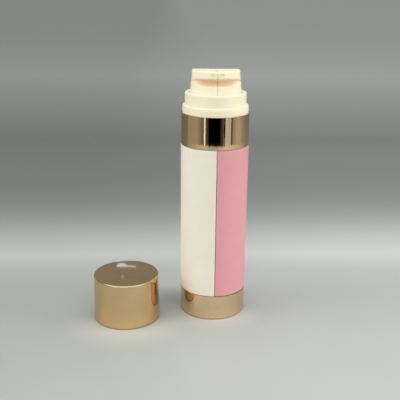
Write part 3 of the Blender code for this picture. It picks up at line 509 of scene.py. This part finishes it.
# %% Shells
BORE, FOOT_RADIUS, BODY_RADIUS, SPIGOT_RADIUS = 16.85, 17.75, 19.0, 17.2
SHELL_FOOT, CUP_RIM, SHOULDER, BORE_TOP, SPIGOT_TOP = 1.7, 14.65, 100.2, 102.4, 103.6
SEAM_HALF, SHELL_WALL, SHELL_EDGE, EDGE_GAP, EDGE_STEPS = 0.13, 1.0, 0.3, 0.35, 5
PUMP_X, PUMP_Y, NECK_RADIUS = 7.6, 1.5, 5.7


def edge_rows(radius, flat, corner, edge, height, way):
    """Rows round a wall's end: the edge's quarter circle shrinks the outline by edge (1 - cos a) while
    the height goes on by edge sin a. way is 1 at a top edge and -1 at a foot."""
    rows = []
    for angle in np.linspace(0, 1, EDGE_STEPS + 1) * math.pi / 2:
        inset = edge * (1 - math.cos(angle))
        z = height - way * edge * (1 - math.sin(angle))
        rows.append((radius - inset, flat + inset, max(corner - inset, 0.05), z))
    return rows


def shell_rows():
    """From the bore's roof down the inside, round the foot, and up the outside to the spigot's top."""
    seam, edge, plain = SEAM_HALF, SHELL_EDGE, 0.6
    rows = [(BORE, seam + SHELL_WALL, 0.9, z) for z in (BORE_TOP, SHELL_FOOT)]
    rows += [(FOOT_RADIUS, seam, plain, z) for z in (SHELL_FOOT, CUP_RIM)]
    rows += edge_rows(BODY_RADIUS, seam, edge, edge, CUP_RIM, -1)[::-1]
    heights = np.linspace(CUP_RIM + EDGE_GAP, SHOULDER - EDGE_GAP, 36)
    rows += [(BODY_RADIUS, seam, edge, z) for z in heights]
    rows += edge_rows(BODY_RADIUS, seam, edge, edge, SHOULDER, 1)
    rows += [(SPIGOT_RADIUS, seam, plain, z) for z in (SHOULDER, SPIGOT_TOP - 0.2)]
    rows += [(SPIGOT_RADIUS - 0.2, seam + 0.2, 0.5, SPIGOT_TOP)]
    return rows


for side, name, finish, slot in ((-1, "left", ivory, "ivory_shell"), (1, "right", pink, "pink_shell")):
    mesh = mesh_of(f"{name}_shell", mirrored(half_stack(shell_rows()), side))
    shell = add_piece(f"{name}_shell", mesh, finish, "bottle", f"shell_{name}")
    drill(shell, NECK_RADIUS, 101, 105, (side * PUMP_X, PUMP_Y))

# %% [markdown]
# ## Collar
#
# The collar is a thin tube, polished like the base. Both of its rims are rounded just enough to show
# a line of light, and it stands a fifth of a millimetre clear of the shells below.

# %% Collar
collar_corners = [(18.5, 100.4), (19.0, 100.4), (19.0, 118.2), (18.5, 118.2)]
mesh = turned_mesh("collar_sleeve", collar_corners, [0.12, 0.2, 0.2, 0.12], ring=True)
add_piece("collar_sleeve", mesh, collar_gold, "bottle", "collar")

# %% [markdown]
# ## Closure ring
#
# The cream ring snaps over the neck plate inside the collar. From below, it shows a low flange with
# a fine line round it and then the taller ring that guides the buttons. Its top edge is well
# rounded, because fingers pass over it with every press.

# %% Closure ring
ring_corners = [
    (16.95, 108.6), (18.25, 108.6), (18.25, 120.2), (18.1, 120.2), (18.1, 120.35), (18.25, 120.35),
    (18.1, 122.2), (16.9, 122.2), (16.9, 129.1), (14.5, 129.1), (14.5, 119.1), (16.95, 119.1),
]
ring_radii = [0.1, 0.1, 0.05, 0.03, 0.03, 0.05, 0.3, 0.25, 0.6, 0.3, 0.1, 0]
mesh = turned_mesh("guide_ring", ring_corners, ring_radii, longest=1.5, ring=True)
add_piece("guide_ring", mesh, cream, "bottle", "closure_ring")

# %% [markdown]
# ## Push buttons
#
# The two buttons are halves of one head. On top a finger pad dips behind a ridge, and in front a
# scoop runs across both of them under the lip that holds the outlets. Cutting these shapes out of a
# plain half-round is one way. Here the surface itself follows them, row by row:
#
# * the top height depends on the distance from front to back only, so the top edge rides on it;
# * between the lip and the scoop's lower edge, each upright line of the wall bows inwards. The bow is
#   deep in front and flat at the sides, and behind them it has no height at all.

# %% Head sizes
HEAD_TOP, LIP_Z, RING_TOP = 141.0, 137.9, 129.1
SKIRT_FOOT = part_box("button_left")[0].z / MM
HEAD_RADIUS, HEAD_DRAFT, HEAD_WALL = 14.1, 1.1, 1.0
SEAM_FLAT, SEAM_ROUND, TOP_ROUND = 0.06, 0.1, 0.45
CEILING = 131.6
PAD_ARC, PAD_Y, PAD_Z, RIDGE_ROUND = 12.0, 10.66, 150.6, 0.15
SCOOP_HIGH, SCOOP_LOW, LIP_FALL = 4.9, 1.7, 2.8
EDGE_ROWS, LIP_ROWS, SCOOP_ROWS, LOW_ROWS = 7, 10, 33, 9
FRONT_COS, SIDE_COS, FADE_COS = (0.2, 0.95), (-0.5, 0.0), (-0.05, 0.3)


def wall_radius(z):
    """The head's outside narrows evenly from the ring up."""
    return HEAD_RADIUS - HEAD_DRAFT * np.clip((z - RING_TOP) / (HEAD_TOP - RING_TOP), 0, 1)


def top_height(y):
    """The flat top, or the pad's arc where that is lower. The lower of a and b, with the crease between
    them rounded, is (a + b - sqrt((a - b)^2 + s^2)) / 2 for a small s."""
    pad = PAD_Z - np.sqrt(np.maximum(PAD_ARC**2 - (y - PAD_Y) ** 2, 1.0))
    gap = pad - HEAD_TOP
    return HEAD_TOP + (gap - np.sqrt(gap**2 + RIDGE_ROUND**2)) / 2


def smooth(value, low, high):
    """From 0 at low to 1 at high without a corner: 3 t^2 - 2 t^3, where t is the value's share."""
    share = np.clip((value - low) / (high - low), 0, 1)
    return share**2 * (3 - 2 * share)


def lip_height(angle):
    """The lip's lower edge falls from the front to the sides by (1 - cos a) to the power 1.5."""
    return LIP_Z - LIP_FALL * (1 - np.cos(np.clip(angle, -math.pi / 2, math.pi / 2))) ** 1.5


def scoop_height(angle):
    """How far the scoop reaches down from the lip: most in front, a narrow band at the sides, nothing
    behind them. The cosine of the angle is 1 in front, 0 at the sides and -1 at the back."""
    front, side = smooth(np.cos(angle), *FRONT_COS), smooth(np.cos(angle), *SIDE_COS)
    return (SCOOP_LOW + (SCOOP_HIGH - SCOOP_LOW) * front) * side


def scoop_depth(angle, share):
    """t^a (1 - t)^b, with t from the lip down, has its peak at a / (a + b). In front the peak lies
    lower and the scoop is deeper; at the head's outline it has no depth."""
    height = scoop_height(angle)
    open_share = height / SCOOP_HIGH
    a, b = 1.0 + 0.85 * open_share, 2.0 - 0.7 * open_share**2
    peak = (a / (a + b)) ** a * (b / (a + b)) ** b
    fade = smooth(np.cos(angle), *FADE_COS)
    return (0.3 + 0.35 * open_share) * height * fade * share**a * (1 - share) ** b / peak


print("pad's lowest point at z", round(float(top_height(PAD_Y)), 2), "mm")
print("skirt's foot at z", round(SKIRT_FOOT, 2), "mm")

# %% [markdown]
# The round side is a grid in cylinder coordinates: an angle for each upright line, and for each row
# a radius and a height. Where the scoop is, its depth is taken off the wall's radius.

# %% Round side of the head
def at(radius, angle, z):
    """Cylinder coordinates to a point: x = r sin a, y = -r cos a. Angle 0 is the front."""
    return np.stack(np.broadcast_arrays(radius * np.sin(angle), -radius * np.cos(angle), z), -1)


def head_rows(angle):
    """The rows from the top edge to the skirt's foot, as (rows, angles, 3) in millimetres."""
    rows = []
    for swing in np.linspace(0, math.pi / 2, EDGE_ROWS):
        radius = HEAD_RADIUS - HEAD_DRAFT - TOP_ROUND * (1 - math.sin(swing))
        drop = TOP_ROUND * (1 - math.cos(swing))
        rows.append(at(radius, angle, top_height(-radius * np.cos(angle)) - drop))
    edge_z = rows[-1][:, 2]
    lip, height = lip_height(angle), scoop_height(angle)
    for share in (0.02, *np.linspace(0.1, 0.95, LIP_ROWS)):
        z = edge_z + (lip - edge_z) * share
        rows.append(at(wall_radius(z), angle, z))
    for share in np.linspace(0, 1, SCOOP_ROWS):
        z = lip - height * share
        rows.append(at(wall_radius(z) - scoop_depth(angle, share), angle, z))
    for share in (0.02, *np.linspace(0.1, 1, LOW_ROWS)):
        z = lip - height + (RING_TOP - lip + height) * share
        rows.append(at(wall_radius(z), angle, z))
    rows.append(at(HEAD_RADIUS, angle, SKIRT_FOOT + 0.2))
    rows.append(at(HEAD_RADIUS - 0.2, angle, SKIRT_FOOT))
    return np.array(rows)


# %% [markdown]
# Now the round side becomes a closed half. At the seam the last upright line bends in along a small
# quarter circle, with the surface's own direction outwards as the other axis of the circle. The
# straight wall joins the two ends row by row and follows the pad along its upper edge. Inside, the
# skirt is hollow up to its ceiling.

# %% One half of the head
SEAM_STEPS = 6


def seam_drop(x):
    """How far a quarter circle at the seam has fallen at x."""
    share = np.clip((SEAM_FLAT + SEAM_ROUND - x) / SEAM_ROUND, 0, 1)
    return SEAM_ROUND * (1 - np.sqrt(1 - share**2))


def seam_bend(edge, way):
    """The rounding at one end of each row. The outward direction is square to the line down the rows;
    rows without length take the direction of the row before them."""
    along = np.gradient(edge, axis=0)
    outwards = np.stack([0 * along[:, 0], along[:, 2] * way, -along[:, 1] * way], -1)
    length = np.linalg.norm(outwards, axis=1)
    known = np.maximum.accumulate(np.where(length > 1e-4, np.arange(len(edge)), 0))
    outwards = outwards[known] / length[known][:, None]
    swing = np.linspace(math.pi / 2, 0, SEAM_STEPS)[None, 1:, None]
    bend = np.repeat(edge[:, None], SEAM_STEPS - 1, axis=1)
    bend = bend - outwards[:, None] * SEAM_ROUND * (1 - np.sin(swing))
    bend[..., 0] = (edge[:, :1] - SEAM_FLAT) * (1 - np.cos(swing[..., 0])) + SEAM_FLAT
    return bend


def button_grids():
    """One half of the head on the +x side: its skin all round, its top, and the skirt's ceiling. The
    top's rows run from the outline to the seam, and its last few go down the seam's rounding."""
    start = math.asin((SEAM_FLAT + SEAM_ROUND) / HEAD_RADIUS)
    side = head_rows(np.linspace(start, math.pi - start, HALF_POINTS - 2 * (SEAM_STEPS - 1)))
    side[..., 0] = np.maximum(side[..., 0], SEAM_FLAT + SEAM_ROUND)
    front, back = seam_bend(side[:, 0], 1), seam_bend(side[:, -1], -1)
    outline = np.concatenate([front[:, ::-1], side, back], axis=1)
    first, last = outline[:, :1], outline[:, -1:]
    front_y, back_y = first[:1, :, 1:2], last[:1, :, 1:2]
    share = ((outline[:1, :, 1:2] - front_y) / (back_y - front_y)).clip(0, 1)
    straight = first + (last - first) * share
    sag = top_height(straight[0, :, 1]) - SEAM_ROUND - straight[0, :, 2]
    fade = np.clip((first[:, 0, 2] - LIP_Z) / (first[0, 0, 2] - LIP_Z), 0, 1)
    straight[..., 2] += sag * fade[:, None]
    across = np.concatenate([np.linspace(0, 1, 12), 1 + np.linspace(0, 1, SEAM_STEPS)[1:]])[:, None]
    goal = SEAM_FLAT + SEAM_ROUND * np.where(across > 1, 1 - np.sin((across - 1) * math.pi / 2), 1)
    edge_x, edge_y = outline[0, :, 0], outline[0, :, 1]
    x = np.where(across > 1, goal, edge_x + (goal - edge_x) * np.minimum(across, 1))
    x = np.minimum(x, edge_x)
    y = edge_y + (straight[0, :, 1] - edge_y) * np.minimum(across, 1)
    top = np.stack([x, y, top_height(y) - seam_drop(x)], -1)
    top[0], top[-1] = outline[0], straight[0]
    inside = [(HEAD_RADIUS - HEAD_WALL, SEAM_FLAT + HEAD_WALL, 0.7, z) for z in (SKIRT_FOOT, CEILING)]
    arcs, straights = half_rows(inside)
    outline, straight = np.concatenate([outline, arcs]), np.concatenate([straight, straights])
    skin = np.concatenate([outline, straight[:, ::-1]], axis=1)
    ceiling = np.stack([outline[-1], straight[-1]])
    return [(skin, True), (top[::-1], False), (ceiling, False)]


def scoop_shade_share(points):
    """How much painted shade a point gets: its depth in the scoop, from 0 on the wall to 1 at 3 mm, and
    0.7 in the seam.
    """
    x, y, z = points.T / MM
    deep = np.clip((wall_radius(z) - np.hypot(x, y)) / 3, 0, 1) ** 0.75
    in_scoop = (z < LIP_Z) & (z > RING_TOP) & (y < 0)
    in_seam = np.abs(x) < SEAM_FLAT + 0.02
    return np.maximum(np.where(in_scoop, deep, 0), 0.7 * in_seam)


# %% [markdown]
# ## Outlets
#
# Each button ends in a small yellow insert with a slot for a mouth. Its outline is a stadium, two
# half circles and the straights between them, and its face keeps the curve of the wall it sits in,
# a tenth of a millimetre proud. The rows run from its back, over the face, into the slot.

# %% Stadium rows
OUTLET_X, OUTLET_Z, OUTLET_BACK, OUTLET_WIDE, OUTLET_PROUD = 2.4, 139.65, -10.9, 0.75, 0.1
RECESS_RADIUS, RECESS_START, RECESS_END = 0.67, -16.0, OUTLET_BACK + 0.1
OUTLET_ROWS = [
    (0.0, 0.0, None), (OUTLET_WIDE, 0.65, None), (OUTLET_WIDE, 0.65, 0.14), (OUTLET_WIDE, 0.63, 0.04),
    (OUTLET_WIDE, 0.58, 0.0), (OUTLET_WIDE, 0.45, 0.0), (0.5, 0.28, 0.0), (0.48, 0.24, 0.02),
    (0.46, 0.2, 0.08), (0.46, 0.2, 0.35), (0.0, 0.0, 0.35),
]


def stadium(half_straight, radius, columns=64):
    """x = s sign(cos a) + r cos a, z = r sin a: a circle pulled apart at its top and bottom."""
    angle = (np.arange(columns) + 0.5) * 2 * np.pi / columns
    return half_straight * np.sign(np.cos(angle)) + radius * np.cos(angle), radius * np.sin(angle)


def wall_face(x, z, proud):
    """The front wall's y at a place of its face: -sqrt((R(z) + proud)^2 - x^2)."""
    return -np.sqrt((wall_radius(z) + proud) ** 2 - x**2)


def nozzle_grid():
    """A row is (half straight, radius, inset), the inset being how far it lies behind the face. Rows
    without one lie in the flat back."""
    rows = []
    for half_straight, radius, inset in OUTLET_ROWS:
        x, z = stadium(half_straight, radius)
        x, z = x + OUTLET_X, z + OUTLET_Z
        y = np.full_like(x, OUTLET_BACK) if inset is None else wall_face(x, z, OUTLET_PROUD) + inset
        rows.append(np.stack([x, y, z], -1))
    return np.array(rows)


def recess_grid():
    """The hole the insert sits in: a stadium a hair larger, from outside the wall inwards."""
    rows = []
    for scale, y in ((0, RECESS_START), (1, RECESS_START), (1, RECESS_END), (0, RECESS_END)):
        x, z = stadium(OUTLET_WIDE * scale, RECESS_RADIUS * scale)
        rows.append(np.stack([x + OUTLET_X, np.full_like(x, y), z + OUTLET_Z], -1))
    return np.array(rows)


# %% Buttons and outlets
BOSS_BORE, BOSS_RADIUS = 1.9, 2.9


def boss_grid():
    """The tube under the ceiling that takes the pump's stem."""
    low, high = SKIRT_FOOT + 0.4, CEILING + 0.5
    sides = [(BOSS_BORE, low), (BOSS_RADIUS, low), (BOSS_RADIUS, high), (BOSS_BORE, high)]
    return turned(dense(np.array(sides + sides[:1]), 2.0), 48, centre=(PUMP_X, PUMP_Y))


for side, name in ((-1, "left"), (1, "right")):
    body = f"button_{name}"
    mesh = mesh_of(f"push_button_{name}", mirrored(button_grids() + [(boss_grid(), True)], side))
    button = add_piece(f"push_button_{name}", mesh, button_cream, body, body)
    recess = mesh_of("recess", mirrored([(recess_grid(), True)], side))
    cut(button, recess)
    points = np.zeros(len(button.data.vertices) * 3, np.float32)
    button.data.vertices.foreach_get("co", points)
    # The share of painted shade rides on each point as the attribute hollow.
    hollow = button.data.attributes.new("hollow", "FLOAT", "POINT")
    hollow.data.foreach_set("value", scoop_shade_share(points.reshape(-1, 3)).astype(np.float32))
    mesh = mesh_of(f"outlet_{name}", mirrored([(nozzle_grid(), True)], side))
    add_piece(f"outlet_{name}", mesh, outlet_yellow, body, f"nozzle_{name}")

# %% [markdown]
# ## Cap
#
# The cap stands beside the bottle, mouth down. It is the third gold piece: a deep cup, slightly
# narrower at its closed end, with a dimple in the middle of its top where the drawing tool held it.
# Its plastic liner, which grips the ring, stays inside.

# %% Cap and liner
cap_corners = [
    (0, 26.3), (0.45, 26.31), (0.75, 26.4), (18.5, 26.4),
    (19.1, 0.0), (18.5, 0.0), (17.92, 25.7), (0, 25.7),
]
cap_radii = [0, 0.1, 0.15, 0.85, 0.2, 0.1, 0.4, 0]
mesh = turned_mesh("cap_sleeve", cap_corners, cap_radii, centre=CAP_CENTRE)
add_piece("cap_sleeve", mesh, cap_gold, "cap", "cap_shell")
liner_corners = [(0, 25.5), (17.7, 25.5), (18.19, 4.45), (17.05, 4.45), (17.05, 24.5), (0, 24.5)]
mesh = turned_mesh("cap_grip", liner_corners, [0, 0.4, 0.2, 0.2, 0.4, 0], centre=CAP_CENTRE)
add_piece("cap_grip", mesh, liner_white, "cap", "cap_liner")

# %% [markdown]
# ## Inner pieces
#
# The bottle works because of what is inside: product chambers with rising followers, and two pumps.
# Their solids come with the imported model. All but the springs need only a finish: natural
# polypropylene, white seals, grey rubber or steel.

# %% Finishes of the inner pieces
natural = plastic_finish("natural_plastic", (236, 236, 230), (228, 229, 222), (0.3, 0.4), depth=0.1)
seal = plastic_finish("seal_white", (237, 238, 241), (230, 231, 235), (0.4, 0.5))
plate = plastic_finish("plate_cream", (250, 240, 214), (246, 236, 208), (0.32, 0.42))
rubber = plastic_finish("gasket_rubber", (196, 198, 201), (186, 188, 192), (0.6, 0.7), grain=3e-6)


def steel_finish(name, rough, squeeze):
    """Bare steel with a little tarnish and fine marks, which a squeezed place turns into lines."""
    made, tree, shader, place = new_finish(name, Metallic=1.0)
    tarnish = spread(tree, noise(tree, place, 600.0, detail=3.0), 0, 1)
    marks = noise(tree, vectors(tree, "MULTIPLY", place, squeeze), 900.0)
    tone = mixed(tree, tarnish, (0.56, 0.56, 0.57, 1), (0.64, 0.65, 0.67, 1))
    feed(shader, Base_Color=tone, Roughness=spread(tree, marks, *rough))
    return made


ball_steel = steel_finish("ball_steel", (0.08, 0.16), (1, 1, 1))
spring_steel = steel_finish("spring_steel", (0.22, 0.34), (1, 1, 6))
INNER = {
    "inner_bottle": natural, "follower": seal, "pump_housing": natural, "gasket": rubber,
    "lock_ring": seal, "valve_ball": ball_steel, "piston": seal, "stem": natural,
}
for name, finish in INNER.items():
    for side in ("left", "right"):
        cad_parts[f"{name}_{side}"].data.materials[0] = finish
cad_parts["neck_plate"].data.materials[0] = plate
print("inner pieces with finishes:", 2 * len(INNER) + 1)

# %% [markdown]
# ## Return springs
#
# The springs are the only inner pieces that change their shape: a pressed button comes down by 6 mm,
# and its spring gets shorter by as much. Each spring is wound here as a wire with its first and last
# turns lying close.

# %% Springs
PRESS, WIRE, COIL = 6.0, 0.3, 2.7
SPRING_SEAT, SPRING_LOW, SPRING_HIGH = 96.2, 96.45, 108.19


def spring_grid(turns=6, steps=32, columns=12):
    """The wire's middle runs along (R cos a, R sin a, h(a)). Round it goes a circle, spanned by the
    direction outwards (cos a, sin a, 0) and its cross product with the direction of the wire."""
    turn = np.linspace(0, turns, turns * steps + 1)
    rise, lead = SPRING_HIGH - SPRING_LOW - 2 * WIRE, 2.2 * WIRE
    height = np.interp(turn, [0, 1, turns - 1, turns], [0, lead, rise - lead, rise])
    out = np.stack([np.cos(2 * np.pi * turn), np.sin(2 * np.pi * turn), 0 * turn], -1)
    middle = COIL * out + (PUMP_X, PUMP_Y, SPRING_LOW + WIRE) + height[:, None] * (0, 0, 1)
    along = np.gradient(middle, axis=0)
    up = np.cross(along / np.linalg.norm(along, axis=1)[:, None], out)
    swing = np.arange(columns)[:, None] * 2 * np.pi / columns
    wire = middle[:, None] + WIRE * (np.cos(swing) * out[:, None] + np.sin(swing) * up[:, None])
    ends = [np.repeat(end[None, None], columns, axis=1) for end in (middle[0], middle[-1])]
    return np.concatenate([ends[0], wire, ends[1]])


for side, name in ((-1, "left"), (1, "right")):
    piece = f"return_spring_{name}"
    mesh = mesh_of(piece, mirrored([(spring_grid(), True)], side))
    coil = add_piece(piece, mesh, spring_steel, "bottle", f"spring_{name}")
    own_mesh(coil)

# %% [markdown]
# ## Floor
#
# The bottle stands on a pale sheet that darkens softly where it leaves the light, as studio paper does.
# That falloff of light is painted into the paper's colour, which depends on the place on the sheet, so
# a flat floor works for every side we look from. The lit field is a rounded rectangle: the fourth
# powers of x and y, each divided by the field's half size, are added, and the fourth root of the sum is
# 1 along its edge. The table of greys runs from the middle of the field, 0, to four times as far as its
# edge, 1. A painted side light makes the paper lighter to the right and darker to the left.
#
# Polished gold throws a warm light on the paper before it. It is painted here: the paper's colour is
# multiplied by 1 plus a gain, which is full at the foot, fades with the distance, and is there only in
# front. It stays on the paper when the cap is lifted. Two round patches are painted as well: a pool of
# painted light, wide and faint, before the bottle, and a small painted shadow between the cap and the
# bottle.

# %% Floor
FLOOR_HALF = 40
FIELD_MIDDLE, FIELD_HALF, FIELD_WIDTH, FIELD_POWER = -0.15, 0.30, 1.6, 4
SIDE_REACH, SIDE_LIGHT_GAIN = 0.11, 0.1
PAPER_REACH = 4
# Greys of the painted falloff of light over the paper, from the field's middle, 0, outwards.
PAPER = {
    0.0: 172, 0.046: 171, 0.087: 166, 0.142: 162, 0.168: 165, 0.192: 180,
    0.222: 163, 0.257: 136, 0.297: 118, 0.35: 110, 0.5: 106, 1.0: 160,
}
GOLD_FOOT, GLOW_START, GLOW_FRONT, GLOW_FALL = 0.0185, 0.009, -0.017, 1.6
WARM_LIGHT = (
    ((0, 0, 0), 0.036, (0.42, 0.31, 0.25)),
    (CAP_FOOT, 0.044, (0.54, 0.42, 0.34)),
    ((0, 0, 0), 0.0225, (0.22, 0.18, 0.15)),
)
LIGHT_AND_SHADOW_PATCHES = (((0.012, -0.024, 0), 0.1, 0.1), ((-0.0247, 0.012, 0), 0.02, -0.26))


def stretched(tree, value, middle, half):
    """|(value - middle) / half| to the field's power."""
    share = numbers(tree, "DIVIDE", numbers(tree, "SUBTRACT", value, middle), half)
    return numbers(tree, "POWER", numbers(tree, "ABSOLUTE", share), FIELD_POWER)


corners = [(x * FLOOR_HALF, y * FLOOR_HALF, 0) for x, y in ((-1, -1), (1, -1), (1, 1), (-1, 1))]
floor_mesh = bpy.data.meshes.new("floor")
floor_mesh.from_pydata(corners, [], [(0, 1, 2, 3)])
floor = placed("floor", floor_mesh)
paper, tree, shader, place = new_finish("paper", Roughness=0.45)
axis = node(tree, "SeparateXYZ", {0: place}).outputs
across = stretched(tree, axis["X"], 0.0, FIELD_HALF * FIELD_WIDTH)
along = stretched(tree, axis["Y"], FIELD_MIDDLE, FIELD_HALF)
edge = numbers(tree, "POWER", numbers(tree, "ADD", across, along), 1 / FIELD_POWER)
ramp = node(tree, "ValToRGB", {"Fac": numbers(tree, "MULTIPLY", edge, 1 / PAPER_REACH)})
elements = ramp.color_ramp.elements
while len(elements) < len(PAPER):
    elements.new(0.5)
for element, (position, grey) in zip(elements, PAPER.items()):
    element.position, element.color = position, light_of(grey, grey + 3, grey - 1)
# Painted side light: the paper is lighter to the right and darker to the left.
light_to_right = ranged(tree, axis["X"], -SIDE_REACH, SIDE_REACH, 1 - SIDE_LIGHT_GAIN, 1 + SIDE_LIGHT_GAIN)
lit = vectors(tree, "SCALE", ramp.outputs["Color"], light_to_right)
for centre, reach, gains in WARM_LIGHT:
    off = vectors(tree, "SUBTRACT", place, centre)
    distance = vectors(tree, "LENGTH", off)
    near = ranged(tree, distance, reach, GOLD_FOOT)
    outside = ranged(tree, distance, GLOW_START, GOLD_FOOT)
    depth = node(tree, "SeparateXYZ", {0: off}).outputs["Y"]
    ahead = ranged(tree, depth, 0.0, GLOW_FRONT, interpolation_type="SMOOTHSTEP")
    share = numbers(tree, "MULTIPLY", numbers(tree, "POWER", near, GLOW_FALL), ahead)
    gain = vectors(tree, "SCALE", gains, numbers(tree, "MULTIPLY", share, outside))
    lit = vectors(tree, "MULTIPLY", lit, vectors(tree, "ADD", gain, (1, 1, 1)))
# Painted light and painted shadow: each patch scales the paper's colour by 1 plus its gain, fading out
# at its reach.
for centre, reach, gain in LIGHT_AND_SHADOW_PATCHES:
    distance = vectors(tree, "LENGTH", vectors(tree, "SUBTRACT", place, centre))
    painted_patch = ranged(tree, distance, 0.0, reach, 1 + gain, 1.0, interpolation_type="SMOOTHSTEP")
    lit = vectors(tree, "SCALE", lit, painted_patch)
feed(shader, Base_Color=lit)
floor_mesh.materials.append(paper)
print("floor stops:", len(PAPER))

# %% [markdown]
# ## Light
#
# Soft studio light: an even glow from all round, and panels overhead, at both sides and in front.
# Metal does not show the glow itself; it shows a grey room, so the world has one colour for matt
# faces and another for what the camera and polished faces see.

# %% Lights
def panel(name, place, goal, size, power):
    """A rectangular soft light that faces its goal."""
    lamp = bpy.data.lights.new(name, "AREA")
    lamp.shape, lamp.size, lamp.size_y, lamp.energy = "RECTANGLE", *size, power
    made = placed(name, lamp)
    facing = (Vector(goal) - Vector(place)).to_track_quat("-Z", "Y").to_matrix().to_4x4()
    made.matrix_world = Matrix.Translation(place) @ facing
    made.visible_glossy = False


panel("overhead", (0.0, 0.1, 1.2), (0, 0, 0.05), (1.2, 0.9), 4.6)
panel("left_panel", (-0.9, -0.1, 0.5), (0, 0, 0.08), (0.5, 0.8), 3.6)
panel("right_panel", (0.9, -0.1, 0.5), (0, 0, 0.08), (0.5, 0.8), 4.2)
panel("front_panel", (0.15, -1.25, 0.5), (0, 0, 0.08), (1.2, 0.5), 3.7)

world = bpy.data.worlds.new("studio")
bpy.context.scene.world = world
world.use_nodes = True
tree = world.node_tree
glow = tree.nodes["Background"]
glow.inputs["Color"].default_value = (1.0, 0.995, 0.98, 1)
glow.inputs["Strength"].default_value = 0.77
room = node(tree, "Background", {"Color": light_of(143, 147, 148), "Strength": 1.0})
path = node(tree, "LightPath").outputs
seen = numbers(tree, "MAXIMUM", path["Is Camera Ray"], path["Is Glossy Ray"])
seen = numbers(tree, "MAXIMUM", seen, path["Is Transmission Ray"])
sky = node(tree, "MixShader", {0: seen, 1: glow.outputs[0], 2: room.outputs[0]})
tree.links.new(sky.outputs[0], tree.nodes["World Output"].inputs["Surface"])
bpy.context.scene.view_settings.view_transform = "Standard"

# %% [markdown]
# Polished metal is a picture of its surroundings, so the strips in the collar are real objects too:
# upright cards that curve round the bottle, seen in reflections only. The camera looks down on the
# collar, so a ray mirrored there goes on down, and low cards are enough. A card runs from one angle
# round the axis to another, 0 at the front, and its glow fades evenly from the first to the second.
# The black cards stand in for the camera and its stand, the bright ones for the panels' edges.
#
# Three cards are flat. A large softbox in front and above brightens every rounded edge. A window and
# a round spot behind the bottle give the cap's top its white patch and its small bright point.

# %% Cards
CARD_DISTANCE, FOOT, LOW, STEP, HIGH = 0.42, 0.007, 0.008, 0.017, 0.06
CARDS = {
    "left_wall": (-104, -66, LOW, HIGH, 0.36, 0.42),
    "left_shade": (-66, -40.5, LOW, HIGH, 0.42, 0.13),
    "left_strip": (-40.5, -35, LOW, HIGH, 1.1, 1.15),
    "left_dusk": (-35, -25, LOW, HIGH, 0.13, 0.03),
    "camera": (-25, 13, FOOT, HIGH, 0.0, 0.0),
    "camera_side": (13, 24, FOOT, HIGH, 0.02, 0.1),
    "stand": (24.5, 29.5, STEP, HIGH, 0.0, 0.0),
    "stand_foot": (24.5, 29.5, FOOT, STEP, 0.12, 0.2),
    "right_strip": (30, 49.5, LOW, HIGH, 0.62, 0.58),
    "right_gap": (49.5, 54, LOW, HIGH, 0.09, 0.09),
    "right_shade": (54, 76, LOW, HIGH, 0.29, 0.54),
    "right_wall": (76, 108, LOW, HIGH, 0.54, 0.28),
}
WHITE, COOL = (1, 1, 1), (1, 1.1, 1.3)


def add_card(name, points, faces, tint, first_glow, last_glow, shares):
    """A shining card, hidden from the camera and from matt faces. At each point, its share says how far
    the glow has gone from the first to the last."""
    mesh = bpy.data.meshes.new(name)
    mesh.from_pydata(points, [], faces)
    mesh.attributes.new("share", "FLOAT", "POINT").data.foreach_set("value", shares)
    made = placed(name, mesh)
    finish = bpy.data.materials.new(name)
    finish.use_nodes = True
    tree = finish.node_tree
    tree.nodes.clear()
    along = node(tree, "Attribute", attribute_name="share").outputs["Fac"]
    fade = ranged(tree, along, 0.0, 1.0, first_glow, last_glow)
    shine = node(tree, "Emission", {"Color": (*tint, 1), "Strength": fade})
    node(tree, "OutputMaterial", {"Surface": shine.outputs[0]})
    mesh.materials.append(finish)
    made.visible_camera = made.visible_diffuse = made.visible_shadow = False


for name, (first, last, low, high, *glows) in CARDS.items():
    count = max(2, int(last - first))
    angle = np.radians(np.linspace(first, last, count))
    foot = [(CARD_DISTANCE * math.sin(a), -CARD_DISTANCE * math.cos(a)) for a in angle]
    points = [(x, y, z) for z in (low, high) for x, y in foot]
    faces = [(i, i + 1, count + i + 1, count + i) for i in range(count - 1)]
    shares = np.tile(np.linspace(0, 1, count), 2).astype(np.float32)
    add_card(f"{name}_card", points, faces, COOL if name.endswith("strip") else WHITE, *glows, shares)


def flat_card(name, corners, glow, tint):
    """A card with one face and one glow."""
    shares = np.zeros(len(corners), np.float32)
    add_card(name, corners, [tuple(range(len(corners)))], tint, glow, glow, shares)


SOFTBOX = [(-1.2, -1.1, 0.15), (1.3, -1.1, 0.15), (1.3, 0.3, 1.1), (-1.2, 0.3, 1.1)]
BEHIND, SPOT_X, SPOT_Z, SPOT_RADIUS = 0.5, -0.0897, 0.2614, 0.0022
WINDOW = [
    (-0.0988, 0.2466), (-0.0953, 0.2418), (-0.0922, 0.2412), (-0.0871, 0.2413),
    (-0.0827, 0.2446), (-0.0709, 0.2453), (-0.0709, 0.247),
]
angles = np.arange(12) * 2 * np.pi / 12
spot = [(SPOT_X + SPOT_RADIUS * math.sin(a), SPOT_Z + SPOT_RADIUS * math.cos(a)) for a in angles]
flat_card("softbox_card", SOFTBOX, 1.1, (1, 1.12, 1.3))
flat_card("spot_card", [(x, BEHIND, z) for x, z in spot], 0.45, COOL)
flat_card("window_card", [(x, BEHIND, z) for x, z in WINDOW], 0.9, (0.85, 1.15, 1.9))
print("cards:", len(CARDS) + 3)
